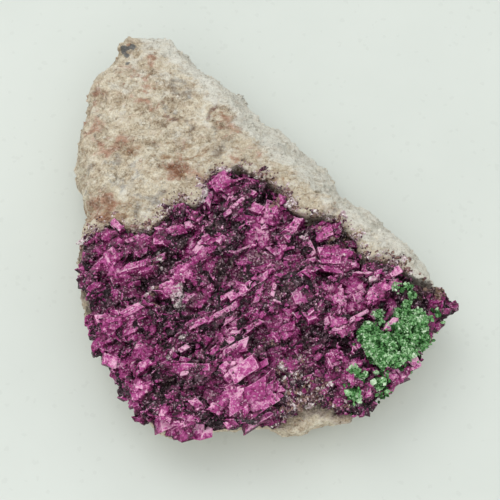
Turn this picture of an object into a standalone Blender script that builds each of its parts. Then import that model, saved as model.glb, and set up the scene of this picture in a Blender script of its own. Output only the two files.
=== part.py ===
"""A hand specimen of cobaltoan calcite with malachite: a pale wedge of host rock, a crust of purple-pink
calcite blocks on its lower face, and green malachite tufts that grew on the crust.

Lengths are in millimetres in the tables below and are turned to metres where a shape is made.
X runs to the right of the crystal face, Y towards the specimen's narrow tip, Z up from the surface it lies on.
"""

import math
import random

import bmesh
import bpy
from mathutils import Matrix, Vector, noise

MM = 0.001

# Driving heights and gaps
ROCK_TOP = 13.6
SEAT_HEIGHT = 9.4
ROOT_DEPTH = 5.0
DRUSE_FLOOR = 12.4
CLEARANCE = 0.3
ROOM_ABOVE = 40.0

# Middle of the rock, from which every ring of its skin is measured
HEART = Vector((-4.0, 1.0))

# Edge of the rock seen from above, clockwise from the tip: x, y, and the height where the rock is widest
ROCK_EDGE = [
    (-23.6, 38.1, 7.0), (-21.5, 38.3, 7.0), (-17.5, 38.8, 7.0), (-15.6, 38.3, 6.5), (-13.2, 36.7, 6.0),
    (-11.0, 33.5, 5.5), (-8.5, 32.5, 5.0), (-6.0, 31.0, 5.0), (-4.0, 29.0, 5.0), (-2.0, 26.5, 4.5),
    (0.5, 24.5, 4.5), (2.5, 23.0, 4.0), (5.0, 21.5, 4.0), (8.0, 18.5, 4.0), (10.5, 15.5, 4.0),
    (13.0, 12.5, 4.0), (14.5, 9.5, 4.0), (17.0, 7.0, 4.0), (19.5, 5.0, 4.0), (21.5, 3.0, 4.5),
    (22.5, 0.0, 5.0), (24.5, -1.5, 5.5), (26.0, -4.0, 6.0), (27.0, -6.5, 6.8), (28.0, -9.5, 7.4),
    (28.8, -12.0, 7.4), (28.6, -14.0, 7.4), (26.8, -16.0, 7.2), (25.2, -18.0, 7.2), (24.0, -20.5, 7.2),
    (22.2, -23.0, 7.2), (20.6, -24.4, 7.2), (17.6, -26.4, 7.4), (14.6, -29.4, 7.6), (13.0, -30.8, 7.8),
    (11.5, -31.2, 7.6), (8.5, -32.0, 7.2), (6.0, -33.0, 7.0), (3.5, -33.0, 7.0), (0.0, -32.6, 7.0),
    (-3.5, -32.5, 7.0), (-7.0, -32.9, 7.0), (-10.5, -33.3, 7.2), (-13.0, -33.3, 7.2), (-14.8, -32.8, 7.2),
    (-16.4, -31.8, 7.2), (-17.8, -29.8, 7.2), (-18.6, -27.4, 7.2), (-20.8, -24.6, 7.0), (-23.2, -21.6, 7.0),
    (-25.4, -19.6, 6.8), (-26.5, -16.5, 6.5), (-28.0, -13.0, 6.2), (-29.3, -9.0, 6.0), (-29.8, -5.0, 6.0),
    (-29.7, -1.0, 6.0), (-29.5, 2.5, 6.0), (-28.7, 4.0, 6.0), (-29.4, 6.0, 6.0), (-29.2, 8.5, 6.0),
    (-30.1, 11.5, 6.0), (-31.0, 15.2, 6.0), (-31.0, 18.5, 6.0), (-30.2, 23.6, 6.0), (-28.7, 28.0, 6.2),
    (-26.7, 31.8, 6.5), (-25.2, 34.8, 6.6), (-24.4, 36.8, 6.8),
]

# How far in from the edge the rock keeps rising, by the side it is on: direction in degrees, millimetres.
# A narrow shoulder is rounder than a wide one.
SHOULDERS = [
    (-180.0, 3.2), (-120.0, 2.6), (-60.0, 2.4), (-25.0, 2.6), (-12.0, 6.0), (10.0, 9.0), (55.0, 9.5),
    (85.0, 8.0), (108.0, 4.5), (125.0, 3.5), (180.0, 3.2),
]
WIDE_SHOULDER = 5.0
NARROW_ROUNDING = 2.6
WIDE_ROUNDING = 1.35

# Shares of the way from the heart to the edge at which the upper skin has a ring of points
UPPER_RINGS = [0.985, 0.96, 0.925, 0.88, 0.82, 0.74, 0.64, 0.52, 0.38, 0.22]

# Rings of the lower skin: distance in from the edge, and height as a share of the edge's own height
LOWER_RINGS = [(0.5, 0.72), (2.3, 0.38), (4.6, 0.08), (6.4, -0.3)]

# Broken surface: size of the chips and how far they lean, the cracks between them, the swells, lumps and pits
# of the skin, and the grain of the mesh that carries them
CHIP_SIZE = 6.5
CHIP_LEAN = 0.30
CRACK_WIDTH = 0.12
CRACK_DEPTH = 2.2
SWELL = 0.75
LUMP = 0.34
PIT = 0.7
ROCK_GRAIN = 0.85
ROCK_TRIANGLES_KEPT = 0.098

# Line where the crystal crust meets the bare rock, from the left edge to the right corner
CRUST_LINE = [
    (-28.3, -3.5), (-26.0, -2.0), (-23.5, 0.5), (-21.5, -0.8), (-19.3, -1.0), (-17.6, -1.5), (-16.4, 0.0),
    (-14.5, 2.0), (-12.9, 3.4), (-10.5, 2.7), (-9.2, 4.4), (-8.0, 8.4), (-5.4, 9.4), (-4.0, 10.5),
    (-0.9, 8.4), (2.6, 6.4), (4.0, 3.3), (6.2, 1.3), (9.2, 1.3), (11.3, 0.6), (13.8, -2.0), (15.3, -5.3),
    (17.4, -7.3), (20.0, -7.3), (22.0, -8.7), (24.0, -9.9), (26.5, -9.5),
]

# The rest of the crust's rim, from the right corner round the front and back up the left side
CRUST_RIM = [
    (28.5, -10.6), (29.5, -12.2), (29.5, -13.7), (28.1, -15.6), (26.5, -17.2), (25.5, -19.6), (23.8, -22.9),
    (22.6, -24.6), (19.0, -27.2), (15.8, -30.2), (13.6, -31.3), (12.0, -30.6), (10.6, -29.4), (8.4, -28.7),
    (5.8, -29.4), (4.4, -31.2), (2.8, -32.4), (0.0, -32.9), (-3.3, -33.0), (-7.3, -33.7), (-10.4, -34.2),
    (-12.8, -34.2), (-15.0, -33.6), (-16.9, -32.4), (-18.4, -30.8), (-19.4, -28.8), (-21.7, -26.0),
    (-23.9, -23.2), (-25.4, -20.8), (-25.8, -17.6), (-26.9, -14.2), (-27.9, -10.4), (-28.2, -6.6),
]

# The slabs that the crust and its seat are cut from: middle, and length and width
SLAB_MIDDLE = (0.0, -12.0)
SLAB_SIZE = (72.0, 60.0)

# Where the crust thins out towards its free rim: how far in, and how far its floor and its seat drop there
RIM_SLOPE = 3.2
RIM_DROP = 1.7
RIM_STEP = 1.5
RIM_RAGGED = 0.4
SEAT_SLOPE = 7.0
SEAT_DROP = 1.9

# Blocks of calcite that stand out of the crust: x, y, length, width, height, heading, pitch and roll in degrees,
# and how far the middle stands above the crust's floor
CRYSTALS = [
    (-23.6, -8.2, 5.4, 4.6, 5.0, 62, 34, 30, 0.4), (-20.3, -9.2, 6.2, 2.8, 3.2, 16, -8, 24, 0.8),
    (-25.3, -11.8, 4.0, 3.6, 3.0, 30, 12, -10, 0.2), (-23.6, -17.4, 3.6, 2.2, 3.0, 4, 4, -26, 1.1),
    (-20.2, -16.6, 4.6, 2.2, 2.8, 36, -6, 28, 0.8), (-18.7, -20.0, 5.0, 4.2, 3.0, -35, 14, 12, 0.5),
    (-16.4, -22.8, 8.0, 3.0, 3.0, -26, 4, 30, 0.4), (-17.5, -28.2, 5.4, 6.6, 4.0, 14, -18, 20, 0.5),
    (-22.3, -24.0, 2.6, 2.6, 2.6, 20, 20, 10, 0.2), (-13.7, -32.0, 4.6, 4.0, 3.6, 42, 16, 14, 0.6),
    (-10.6, -32.6, 5.0, 3.2, 3.2, 12, 8, 26, 0.3), (-13.6, -29.2, 3.8, 3.2, 2.4, -20, 6, 8, 0.1),
    (-7.8, -2.2, 5.2, 3.8, 4.0, -28, 10, 28, 0.9), (-14.9, -2.4, 3.4, 3.4, 3.0, 2, 30, 6, 0.5),
    (-11.4, 1.4, 4.6, 2.0, 2.4, -16, 6, 20, 0.9), (-5.4, -22.2, 7.2, 3.6, 4.2, 38, -6, 26, 0.9),
    (-2.8, -17.2, 6.6, 2.4, 3.4, 42, -4, 30, 0.7), (-3.2, -12.2, 6.4, 2.2, 3.2, 42, -6, 28, 0.6),
    (-9.9, -18.0, 3.2, 2.0, 2.6, 26, -4, 24, 0.5), (-3.0, -26.6, 5.6, 5.2, 5.0, 36, 14, 18, 1.4),
    (-1.4, -30.2, 6.6, 4.4, 4.6, 36, 10, 20, 1.0), (-14.0, -12.0, 4.0, 3.6, 3.0, 60, 14, -16, 0.6),
    (-2.2, -7.4, 5.4, 4.6, 3.0, 44, 8, 10, 0.4), (4.8, -12.4, 5.6, 7.2, 3.6, 18, -12, 16, 0.6),
    (11.4, -6.8, 5.2, 4.4, 3.6, -18, 12, 18, 0.9), (9.6, -2.2, 4.6, 2.6, 3.4, 12, -4, 26, 0.8),
    (11.6, -17.8, 4.8, 3.8, 4.2, -8, 10, 24, 1.0), (11.6, -13.8, 3.6, 4.4, 3.4, 66, 10, -18, 0.7),
    (17.6, -12.4, 4.6, 3.4, 3.6, 40, -10, 24, 0.7), (15.6, -15.6, 5.0, 2.2, 3.0, 32, -4, 26, 0.6),
    (19.6, -9.6, 4.2, 2.6, 3.0, -30, 6, 20, 0.4), (22.2, -23.2, 3.2, 3.2, 3.0, 52, 12, 20, 0.1),
    (19.3, -25.0, 3.6, 2.4, 2.6, 30, 6, 18, 0.1), (11.2, -23.2, 3.6, 2.8, 2.6, 24, 8, 12, 0.3),
    (18.8, -17.6, 4.0, 1.6, 3.2, 56, -4, 12, 0.9), (26.2, -14.4, 3.4, 2.4, 2.6, 10, 4, 14, -0.2),
    (1.8, 2.6, 3.6, 2.8, 3.0, 16, 10, 20, 0.6), (-5.6, 7.2, 5.0, 4.6, 3.6, -34, 12, 14, 0.4),
    (-5.4, 4.0, 6.6, 1.6, 2.8, 36, -4, 16, 0.7), (7.0, -20.4, 4.2, 3.4, 2.6, -30, 10, 12, 0.2),
    (-9.6, -26.0, 4.6, 3.2, 3.2, 8, 10, 24, 0.6), (-8.8, -30.6, 4.4, 2.2, 2.8, -40, 8, 16, 0.3),
    (-21.4, -13.2, 3.6, 3.0, 2.8, 24, 12, -14, 0.3), (15.6, -21.6, 4.0, 3.0, 2.6, 44, 8, 14, 0.2),
    (14.0, -27.2, 4.4, 3.2, 2.6, 34, 6, 12, 0.1), (0.8, -21.4, 3.8, 3.0, 2.8, -24, 10, 16, 0.2),
    (-9.2, -10.2, 4.4, 3.4, 2.8, -50, 12, 12, 0.4), (3.4, -3.2, 4.0, 3.2, 2.8, 28, -10, 14, 0.4),
    (-12.6, -16.8, 3.6, 2.8, 2.6, -12, 10, 16, 0.3), (5.8, -25.6, 3.8, 3.0, 2.4, 50, 10, 12, 0.1),
]
BLOCK_SINK = 0.6
LEAN = 0.28
SIDE_LEAN = 0.17
ROOT_STAGGER = 0.5
SMALL_BLOCKS = 46
SMALL_BLOCK_SIZES = (1.7, 3.1)
SMALL_BLOCK_HEADINGS = (-70, 110)
SMALL_BLOCK_TILTS = (-35, 35)

# Middles and radii of the malachite lumps: the big patch first, then the tufts that stand apart from it
MALACHITE_PATCH = [
    (16.2, -19.6, 1.9), (17.4, -22.2, 1.9), (19.2, -21.4, 2.0), (21.2, -20.2, 2.1), (22.6, -18.2, 2.0),
    (21.4, -16.4, 1.5), (23.8, -16.6, 1.3), (23.8, -19.8, 1.5), (21.4, -22.0, 1.6), (19.4, -23.2, 1.6),
    (20.4, -18.6, 1.6), (17.9, -24.0, 1.1), (21.9, -14.4, 1.0),
]
MALACHITE_TUFTS = {
    "malachite_tuft_upper_left": [(20.2, -11.4, 0.8)],
    "malachite_tuft_upper_right": [(22.1, -11.5, 0.8), (22.7, -12.5, 0.8)],
    "malachite_tuft_middle": [(17.6, -15.9, 0.8)],
    "malachite_tuft_corner": [(26.6, -15.4, 0.7)],
    "malachite_tuft_lower": [(17.6, -26.9, 1.2)],
    "malachite_tuft_lower_left": [(13.9, -25.6, 0.9), (14.8, -25.9, 0.7)],
    "malachite_tuft_front": [(13.2, -28.9, 1.1)],
}
LUMP_FLATNESS = 0.8
LUMP_STAND = 0.75
LUMP_ROUGHNESS = 0.26


def clear_scene():
    for old in list(bpy.data.objects):
        bpy.data.objects.remove(old)


def finish_material(name, colour, roughness):
    """A plain Principled finish in one colour."""
    material = bpy.data.materials.new(name)
    material.use_nodes = True
    shader = material.node_tree.nodes["Principled BSDF"]
    shader.inputs["Base Color"].default_value = (*colour, 1.0)
    shader.inputs["Roughness"].default_value = roughness
    shader.inputs["Metallic"].default_value = 0.0
    return material


def object_from(bm, name, material=None):
    """Makes an object of a finished bmesh."""
    bmesh.ops.recalc_face_normals(bm, faces=bm.faces)
    mesh = bpy.data.meshes.new(name)
    bm.to_mesh(mesh)
    bm.free()
    made = bpy.data.objects.new(name, mesh)
    bpy.context.scene.collection.objects.link(made)
    if material:
        mesh.materials.append(material)
    return made


def as_cutter(helper):
    """Keeps a helper out of the model."""
    helper.hide_render = True
    helper.display_type = "WIRE"
    return helper


def boolean(target, other, operation, crossing=False):
    """Adds a Boolean of target with another object. crossing says that the other's own shapes overlap."""
    modifier = target.modifiers.new(f"{operation.lower()} {other.name}", "BOOLEAN")
    modifier.operation = operation
    modifier.object = other
    modifier.solver = "EXACT"
    modifier.use_self = crossing


def shoulder_width(direction):
    """Width in millimetres of the sloping shoulder on the side that faces this direction, in degrees."""
    for (low, first), (high, second) in zip(SHOULDERS, SHOULDERS[1:]):
        if low <= direction <= high:
            return first + (second - first) * (direction - low) / (high - low)
    return SHOULDERS[0][1]


def rock_top(inward, rim, shoulder):
    """Height of the rock's upper skin this far inward from an edge of height rim."""
    climb = min(1.0, inward / shoulder)
    rounding = NARROW_ROUNDING if shoulder < WIDE_SHOULDER else WIDE_ROUNDING
    return rim + (ROCK_TOP - rim) * (1.0 - (1.0 - climb) ** rounding)


def broken(point, normal):
    """Where a point of the rock's skin lies once it is chipped and pitted, in millimetres."""
    around, seeds = noise.voronoi(point / CHIP_SIZE)[0:2]
    lean = noise.cell_vector(seeds[0] * 3.7) - Vector((0.5, 0.5, 0.5))
    chip = lean.dot(point - seeds[0] * CHIP_SIZE) * CHIP_LEAN
    crack = -CRACK_DEPTH * max(0.0, CRACK_WIDTH - (around[1] - around[0]))
    swell = SWELL * noise.noise(point * 0.11 + Vector((3, 8, 1)))
    lump = LUMP * noise.noise(point * 0.42)
    pit = -PIT * max(0.0, noise.noise(point * 0.3 + Vector((0, 20, 4))) - 0.25)
    return point + normal * (chip + crack + swell + lump + pit)


def extrude_ring(bm, edges, station, place):
    """Extrudes an open ring of edges and moves each new point to place(its station on the rock's edge)."""
    made = bmesh.ops.extrude_edge_only(bm, edges=edges)["geom"]
    for point in made:
        if isinstance(point, bmesh.types.BMVert):
            point.co = place(point[station]) * MM
    return [e for e in made if isinstance(e, bmesh.types.BMEdge) and e.is_boundary]


def make_host_rock(material):
    """The wedge of pale rock, as rings from its widest line up to the middle of its face and down to its foot."""
    bm = bmesh.new()
    station = bm.verts.layers.int.new("station")
    ring = []
    for index, (x, y, rim) in enumerate(ROCK_EDGE):
        point = bm.verts.new(Vector((x, y, rim)) * MM)
        point[station] = index
        ring.append(point)
    start = [bm.edges.new((a, b)) for a, b in zip(ring, ring[1:] + ring[:1])]

    def on_top(share):
        def place(index):
            x, y, rim = ROCK_EDGE[index]
            out = Vector((x, y)) - HEART
            inside = HEART + out * share
            direction = math.degrees(math.atan2(out.y, out.x))
            height = rock_top(out.length * (1 - share), rim, shoulder_width(direction))
            return Vector((*inside, height))
        return place

    def underneath(inset, share):
        def place(index):
            x, y, rim = ROCK_EDGE[index]
            out = Vector((x, y)) - HEART
            ragged = 1.0 + 0.35 * noise.noise(Vector((x * 0.2, y * 0.2, 9.0)))
            inside = HEART + out * (1 - inset * ragged / out.length)
            return Vector((*inside, rim * share))
        return place

    edges = start
    for share in UPPER_RINGS:
        edges = extrude_ring(bm, edges, station, on_top(share))
    cap = bmesh.ops.holes_fill(bm, edges=edges)["faces"]
    pole = bmesh.ops.poke(bm, faces=cap)["verts"][0]
    pole.co = Vector((*HEART, ROCK_TOP)) * MM

    edges = [e for e in start if e.is_boundary]
    for inset, share in LOWER_RINGS:
        edges = extrude_ring(bm, edges, station, underneath(inset, share))
    bmesh.ops.holes_fill(bm, edges=edges)
    bmesh.ops.triangulate(bm, faces=bm.faces)
    return chipped(object_from(bm, "rock_form"), material)


def chipped(form, material):
    """The rock's form with a broken, pitted skin and a flat underside."""
    remesh = form.modifiers.new("even grain", "REMESH")
    remesh.mode = "VOXEL"
    remesh.voxel_size = ROCK_GRAIN * MM
    graph = bpy.context.evaluated_depsgraph_get()
    bm = bmesh.new()
    bm.from_mesh(form.evaluated_get(graph).to_mesh())
    as_cutter(form)
    bm.normal_update()
    moved = [broken(point.co / MM, point.normal) * MM for point in bm.verts]
    for point, place in zip(bm.verts, moved):
        point.co = place
    rock = object_from(bm, "host_rock", material)
    thin = rock.modifiers.new("fewer faces", "DECIMATE")
    thin.ratio = ROCK_TRIANGLES_KEPT
    table = as_cutter(prism("below_rest_face", [(-60, -60), (60, -60), (60, 60), (-60, 60)], -20.0, 0.0))
    boolean(rock, table, "DIFFERENCE", crossing=True)
    return rock


def prism(name, outline, low, high, material=None):
    """An upright prism on an outline, in millimetres."""
    bm = bmesh.new()
    base = bm.faces.new([bm.verts.new(Vector((x, y, low)) * MM) for x, y in outline])
    top = bmesh.ops.extrude_face_region(bm, geom=[base])["geom"]
    bmesh.ops.translate(
        bm, vec=(0, 0, (high - low) * MM), verts=[v for v in top if isinstance(v, bmesh.types.BMVert)]
    )
    return object_from(bm, name, material)


def pushed(line, distance):
    """The line moved this far down the page, away from the bare rock."""
    return [(x, y - distance) for x, y in line]


def carried_to(bm, corners, height):
    """Turns a closed lump into the hull of itself and its outline seen from above, at this height."""
    outline = [bm.verts.new((*corner.co.xy, height * MM)) for corner in corners]
    skin = {edge for corner in corners for edge in corner.link_edges}
    bmesh.ops.delete(bm, geom=list(skin), context="EDGES_FACES")
    hull = bmesh.ops.convex_hull(bm, input=corners + outline, use_existing_faces=False)
    inner = {g for g in hull["geom_interior"] + hull["geom_unused"] if isinstance(g, bmesh.types.BMVert)}
    bmesh.ops.delete(bm, geom=list(inner), context="VERTS")


def add_block(bm, x, y, size, heading, pitch, roll, height):
    """One leaning six-faced block of calcite, with its outline carried down into the crust it grew from."""
    length, width, tall = (side * MM for side in size)
    turn = (
        Matrix.Rotation(math.radians(heading), 4, "Z")
        @ Matrix.Rotation(math.radians(pitch), 4, "Y")
        @ Matrix.Rotation(math.radians(roll), 4, "X")
    )
    lean = Matrix(((1, LEAN, LEAN, 0), (0, 1, SIDE_LEAN, 0), (0, 0, 1, 0), (0, 0, 0, 1)))
    place = Matrix.Translation(Vector((x, y, height)) * MM)
    grow = Matrix.Diagonal((length, width, tall, 1))
    corners = bmesh.ops.create_cube(bm, size=1.0, matrix=place @ turn @ lean @ grow)["verts"]
    # No two roots end at one height, or their level faces would lie in one plane
    carried_to(bm, corners, ROOT_DEPTH + ROOT_STAGGER * math.sin(x * 3.1 + y))


def inside_outline(x, y, outline):
    """Whether x, y lies inside a closed outline."""
    crossings = 0
    for (ax, ay), (bx, by) in zip(outline, outline[1:] + outline[:1]):
        if (ay > y) != (by > y) and x < ax + (y - ay) * (bx - ax) / (by - ay):
            crossings += 1
    return crossings % 2 == 1


def from_rim(x, y):
    """Distance from x, y to the crust's free rim."""
    spot = Vector((x, y))
    nearest = math.inf
    for start, end in zip(CRUST_RIM, CRUST_RIM[1:]):
        start, run = Vector(start), Vector(end) - Vector(start)
        along = max(0.0, min(1.0, (spot - start).dot(run) / run.length_squared))
        nearest = min(nearest, (start + run * along - spot).length)
    return nearest


def floor_height(x, y):
    """Height of the crust's floor between its blocks: level, and lower towards its free rim."""
    return DRUSE_FLOOR - RIM_DROP * max(0.0, 1 - from_rim(x, y) / RIM_SLOPE) ** 2


def seat_height(x, y):
    """Height of the rock under the crust: gently uneven, and lower towards the rim."""
    uneven = 0.5 * noise.noise(Vector((x * 0.13, y * 0.13, 31.0)))
    return SEAT_HEIGHT + uneven - SEAT_DROP * max(0.0, 1 - from_rim(x, y) / SEAT_SLOPE)


def slab(name, cell, surface, end, material=None):
    """A wide slab between an uneven surface and a level end, both heights in millimetres."""
    length, width = SLAB_SIZE
    bm = bmesh.new()
    grid = bmesh.ops.create_grid(
        bm, x_segments=round(length / cell), y_segments=round(width / cell), size=0.5,
        matrix=Matrix.Translation(Vector((*SLAB_MIDDLE, 0)) * MM)
        @ Matrix.Diagonal((length * MM, width * MM, 1, 1)),
    )
    for point in grid["verts"]:
        point.co = surface(point.co.x / MM, point.co.y / MM) * MM
    for point in bmesh.ops.extrude_face_region(bm, geom=list(bm.faces))["geom"]:
        if isinstance(point, bmesh.types.BMVert):
            point.co.z = end * MM
    bmesh.ops.triangulate(bm, faces=bm.faces)
    return object_from(bm, name, material)


def ragged(outline):
    """A rim broken into short uneven steps, as crystals leave it."""
    chance = random.Random(21)
    steps = []
    for start, end in zip(outline, outline[1:]):
        start, run = Vector(start), Vector(end) - Vector(start)
        count = max(1, round(run.length / RIM_STEP))
        out = Vector((run.y, -run.x)).normalized()
        for step in range(count):
            shift = chance.uniform(-RIM_RAGGED, RIM_RAGGED)
            steps.append(tuple(start + run * (step / count) - out * shift))
    return steps + [outline[-1]]


def over_seat(name, outline, lift):
    """Everything above the seat, raised by lift, inside an outline."""
    def surface(x, y):
        return Vector((x, y, seat_height(x, y) + lift))
    above = as_cutter(slab(name, 5.0, surface, ROOM_ABOVE + lift))
    inside = as_cutter(prism(f"{name}_outline", outline, -5.0, ROOM_ABOVE + 5.0))
    boolean(above, inside, "INTERSECT")
    return above


def make_crystals():
    """Every block of the crust in one helper mesh: the chosen ones, then small ones between them."""
    bm = bmesh.new()
    for x, y, length, width, tall, heading, pitch, roll, stand in CRYSTALS:
        middle = floor_height(x, y) + stand - BLOCK_SINK
        add_block(bm, x, y, (length, width, tall), heading, pitch, roll, middle)
    chance = random.Random(11)
    outline = pushed(CRUST_LINE, 1.5) + [(x * 0.95, y * 0.95) for x, y in CRUST_RIM]
    placed = 0
    while placed < SMALL_BLOCKS:
        x, y = chance.uniform(-28, 28), chance.uniform(-33, 10)
        if not inside_outline(x, y, outline):
            continue
        size = [chance.uniform(*SMALL_BLOCK_SIZES) for _ in range(3)]
        heading = chance.uniform(*SMALL_BLOCK_HEADINGS)
        pitch, roll = chance.uniform(*SMALL_BLOCK_TILTS), chance.uniform(*SMALL_BLOCK_TILTS)
        add_block(bm, x, y, size, heading, pitch, roll, floor_height(x, y) + chance.uniform(-0.5, 0.5))
        placed += 1
    return as_cutter(object_from(bm, "crystal_blocks"))


def make_druse(material):
    """The crust under and between the blocks, with a rough floor."""
    chance = random.Random(4)

    def surface(x, y):
        x, y = x + chance.uniform(-0.7, 0.7), y + chance.uniform(-0.7, 0.7)
        return Vector((x, y, floor_height(x, y) + chance.uniform(-0.6, 0.6)))
    return slab("cobaltoan_calcite_crust", 3.0, surface, ROOT_DEPTH - 2.0, material)


def add_lump(bm, x, y, radius, grow):
    """One rough ball of malachite, a little flattened, half sunk in the crust."""
    centre = Vector((x, y, floor_height(x, y) + LUMP_STAND)) * MM
    ball = bmesh.ops.create_icosphere(
        bm, subdivisions=2 if radius > 1.4 else 1, radius=(radius + grow) * MM,
        matrix=Matrix.Translation(centre) @ Matrix.Diagonal((1.0, 1.0, LUMP_FLATNESS, 1.0)),
    )
    for point in ball["verts"]:
        out = point.co - centre
        rough = noise.noise(out.normalized() * 1.7 + centre * 900)
        point.co = centre + out * (1.0 + LUMP_ROUGHNESS * rough)
    if grow:
        carried_to(bm, ball["verts"], ROOM_ABOVE + radius + 0.1 * x)


def make_malachite(name, lumps, material=None, grow=0.0):
    """Malachite balls joined into one solid. grow makes the pockets that they sit in."""
    bm = bmesh.new()
    add_lump(bm, *lumps[0], grow)
    made = object_from(bm, name, material)
    if len(lumps) > 1:
        bm = bmesh.new()
        for lump in lumps[1:]:
            add_lump(bm, *lump, grow)
        boolean(made, as_cutter(object_from(bm, f"{name}_lumps")), "UNION", crossing=True)
    return made


def settle(nodes):
    """Moves everything so that the specimen stands on the origin, under the middle of its own box."""
    graph = bpy.context.evaluated_depsgraph_get()
    corners = []
    for node in nodes:
        corners += [Vector(corner) for corner in node.evaluated_get(graph).bound_box]
    low = [min(corner[axis] for corner in corners) for axis in range(2)]
    high = [max(corner[axis] for corner in corners) for axis in range(2)]
    middle = bpy.data.objects.new("specimen", None)
    bpy.context.scene.collection.objects.link(middle)
    for piece in bpy.data.objects:
        if piece is not middle:
            piece.parent = middle
    middle.location = (-(low[0] + high[0]) / 2, -(low[1] + high[1]) / 2, 0.0)


def make_specimen():
    clear_scene()
    pale_rock = finish_material("pale host rock", (0.60, 0.52, 0.44), 0.85)
    purple_calcite = finish_material("cobaltoan calcite", (0.33, 0.05, 0.21), 0.45)
    green_malachite = finish_material("malachite", (0.10, 0.36, 0.14), 0.8)

    rock = make_host_rock(pale_rock)
    past_rim = [(40, -8.0), (40, -45), (-40, -45), (-40, -3.5)]
    boolean(rock, over_seat("crust_seat", CRUST_LINE + past_rim, 0.0), "DIFFERENCE")

    crust = make_druse(purple_calcite)
    boolean(crust, make_crystals(), "UNION", crossing=True)
    outline = pushed(CRUST_LINE, CLEARANCE) + ragged(CRUST_RIM)
    room = over_seat("crust_room", outline, CLEARANCE)
    boolean(crust, room, "INTERSECT")

    tufts = {"malachite_patch": MALACHITE_PATCH, **MALACHITE_TUFTS}
    every_lump = [lump for lumps in tufts.values() for lump in lumps]
    pockets = as_cutter(make_malachite("malachite_pockets", every_lump, grow=CLEARANCE))
    boolean(crust, pockets, "DIFFERENCE")
    green = [make_malachite(name, lumps, green_malachite) for name, lumps in tufts.items()]
    settle([rock, crust, *green])


make_specimen()
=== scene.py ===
"""The dressed specimen: pale host rock, a crust of cobaltoan calcite crystals, and tufts of malachite.

The solids come from the frame. Every visible piece is modelled here in their place, and lengths are in
millimetres until a shape is made. Places are measured on the specimen as it was drawn, whose own middle lies
DRAWN_MIDDLE away from the frame's.
"""

import bisect
import math
import random

import bmesh
import bpy
from mathutils import Euler, Matrix, Vector, noise
from mathutils.bvhtree import BVHTree


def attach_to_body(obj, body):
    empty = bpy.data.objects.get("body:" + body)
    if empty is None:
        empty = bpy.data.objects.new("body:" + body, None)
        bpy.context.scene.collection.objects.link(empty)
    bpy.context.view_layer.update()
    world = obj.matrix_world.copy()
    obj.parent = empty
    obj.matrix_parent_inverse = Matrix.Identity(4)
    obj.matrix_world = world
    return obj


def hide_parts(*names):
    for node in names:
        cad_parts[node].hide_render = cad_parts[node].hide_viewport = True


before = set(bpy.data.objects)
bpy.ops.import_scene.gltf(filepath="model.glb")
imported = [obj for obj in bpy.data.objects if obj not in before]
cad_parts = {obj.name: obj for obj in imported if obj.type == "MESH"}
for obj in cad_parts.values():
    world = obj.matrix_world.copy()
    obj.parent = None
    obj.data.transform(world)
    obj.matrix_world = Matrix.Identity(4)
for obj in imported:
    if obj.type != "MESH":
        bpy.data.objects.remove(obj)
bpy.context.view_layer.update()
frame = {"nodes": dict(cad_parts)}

MM = 0.001
DRAWN_MIDDLE = Vector((0.871, -2.071, 0.0))

# Camera: elevation in degrees, distance and aim in millimetres, lens and film width
ELEVATION = 62.0
DISTANCE = 222.0
AIM = Vector((-2.0, -2.2, 8.0))
LENS = 100.0
FILM = 36.0
FRAME_SIDE = 500

# Heights in millimetres at which marks read off the picture lie
ROCK_FACE = 13.5
CRUST_FACE = 13.5

# How far a mark's feathered edge reaches, as a share of its radius
SPREAD = 1.42

# The rock's broken back right edge, from its upper end to its lower one: columns and rows, and their height
BACK_EDGE = [(168, 38), (432, 268)]
BACK_EDGE_HEIGHT = 6.0

# Marks on the bare rock as seen in the picture: column, row, radius in pixels
ROSE_MARKS = [
    (146, 76, 9), (100, 94, 11), (88, 114, 10), (100, 125, 8), (90, 130, 7), (118, 141, 12),
    (105, 144, 9), (179, 155, 11), (168, 112, 6), (229, 127, 11), (255, 147, 7), (191, 173, 10),
    (238, 150, 6), (152, 104, 7), (172, 176, 8), (128, 66, 8), (160, 60, 8), (98, 196, 9),
    (104, 208, 10), (214, 108, 7), (138, 92, 6),
]
RUST_MARKS = [
    (88, 208, 10), (94, 216, 9), (104, 214, 9), (123, 206, 9), (138, 150, 9), (174, 176, 9),
    (158, 164, 8), (278, 183, 8), (258, 176, 7), (312, 222, 9), (330, 232, 8), (194, 154, 8),
    (226, 118, 7), (292, 192, 6), (86, 192, 7), (112, 198, 6), (350, 240, 8), (366, 256, 7),
]
GREY_MARKS = [
    (166, 110, 6), (182, 85, 11), (185, 124, 9), (216, 147, 11), (214, 108, 8), (110, 164, 10),
    (150, 194, 8), (141, 216, 10), (118, 182, 6), (212, 194, 8), (132, 176, 5), (360, 236, 8),
    (336, 214, 7), (396, 256, 6), (300, 208, 6), (88, 172, 7),
]
INK_MARKS = [(125, 47, 5), (133, 46, 4), (127, 54, 4), (127, 61, 3)]
WHITE_MARKS = [
    (123, 184, 11), (141, 164, 8), (136, 172, 6), (150, 198, 6), (202, 117, 8), (192, 140, 7),
    (178, 134, 7), (168, 92, 7), (205, 165, 6), (230, 160, 8), (244, 172, 7), (160, 146, 6),
    (118, 112, 6), (148, 120, 6), (140, 206, 5), (152, 208, 5), (300, 180, 12), (330, 205, 11),
    (400, 258, 8), (270, 158, 10), (262, 130, 9), (150, 52, 15), (136, 66, 12), (168, 78, 10),
    (124, 88, 8), (206, 88, 9),
]

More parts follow.
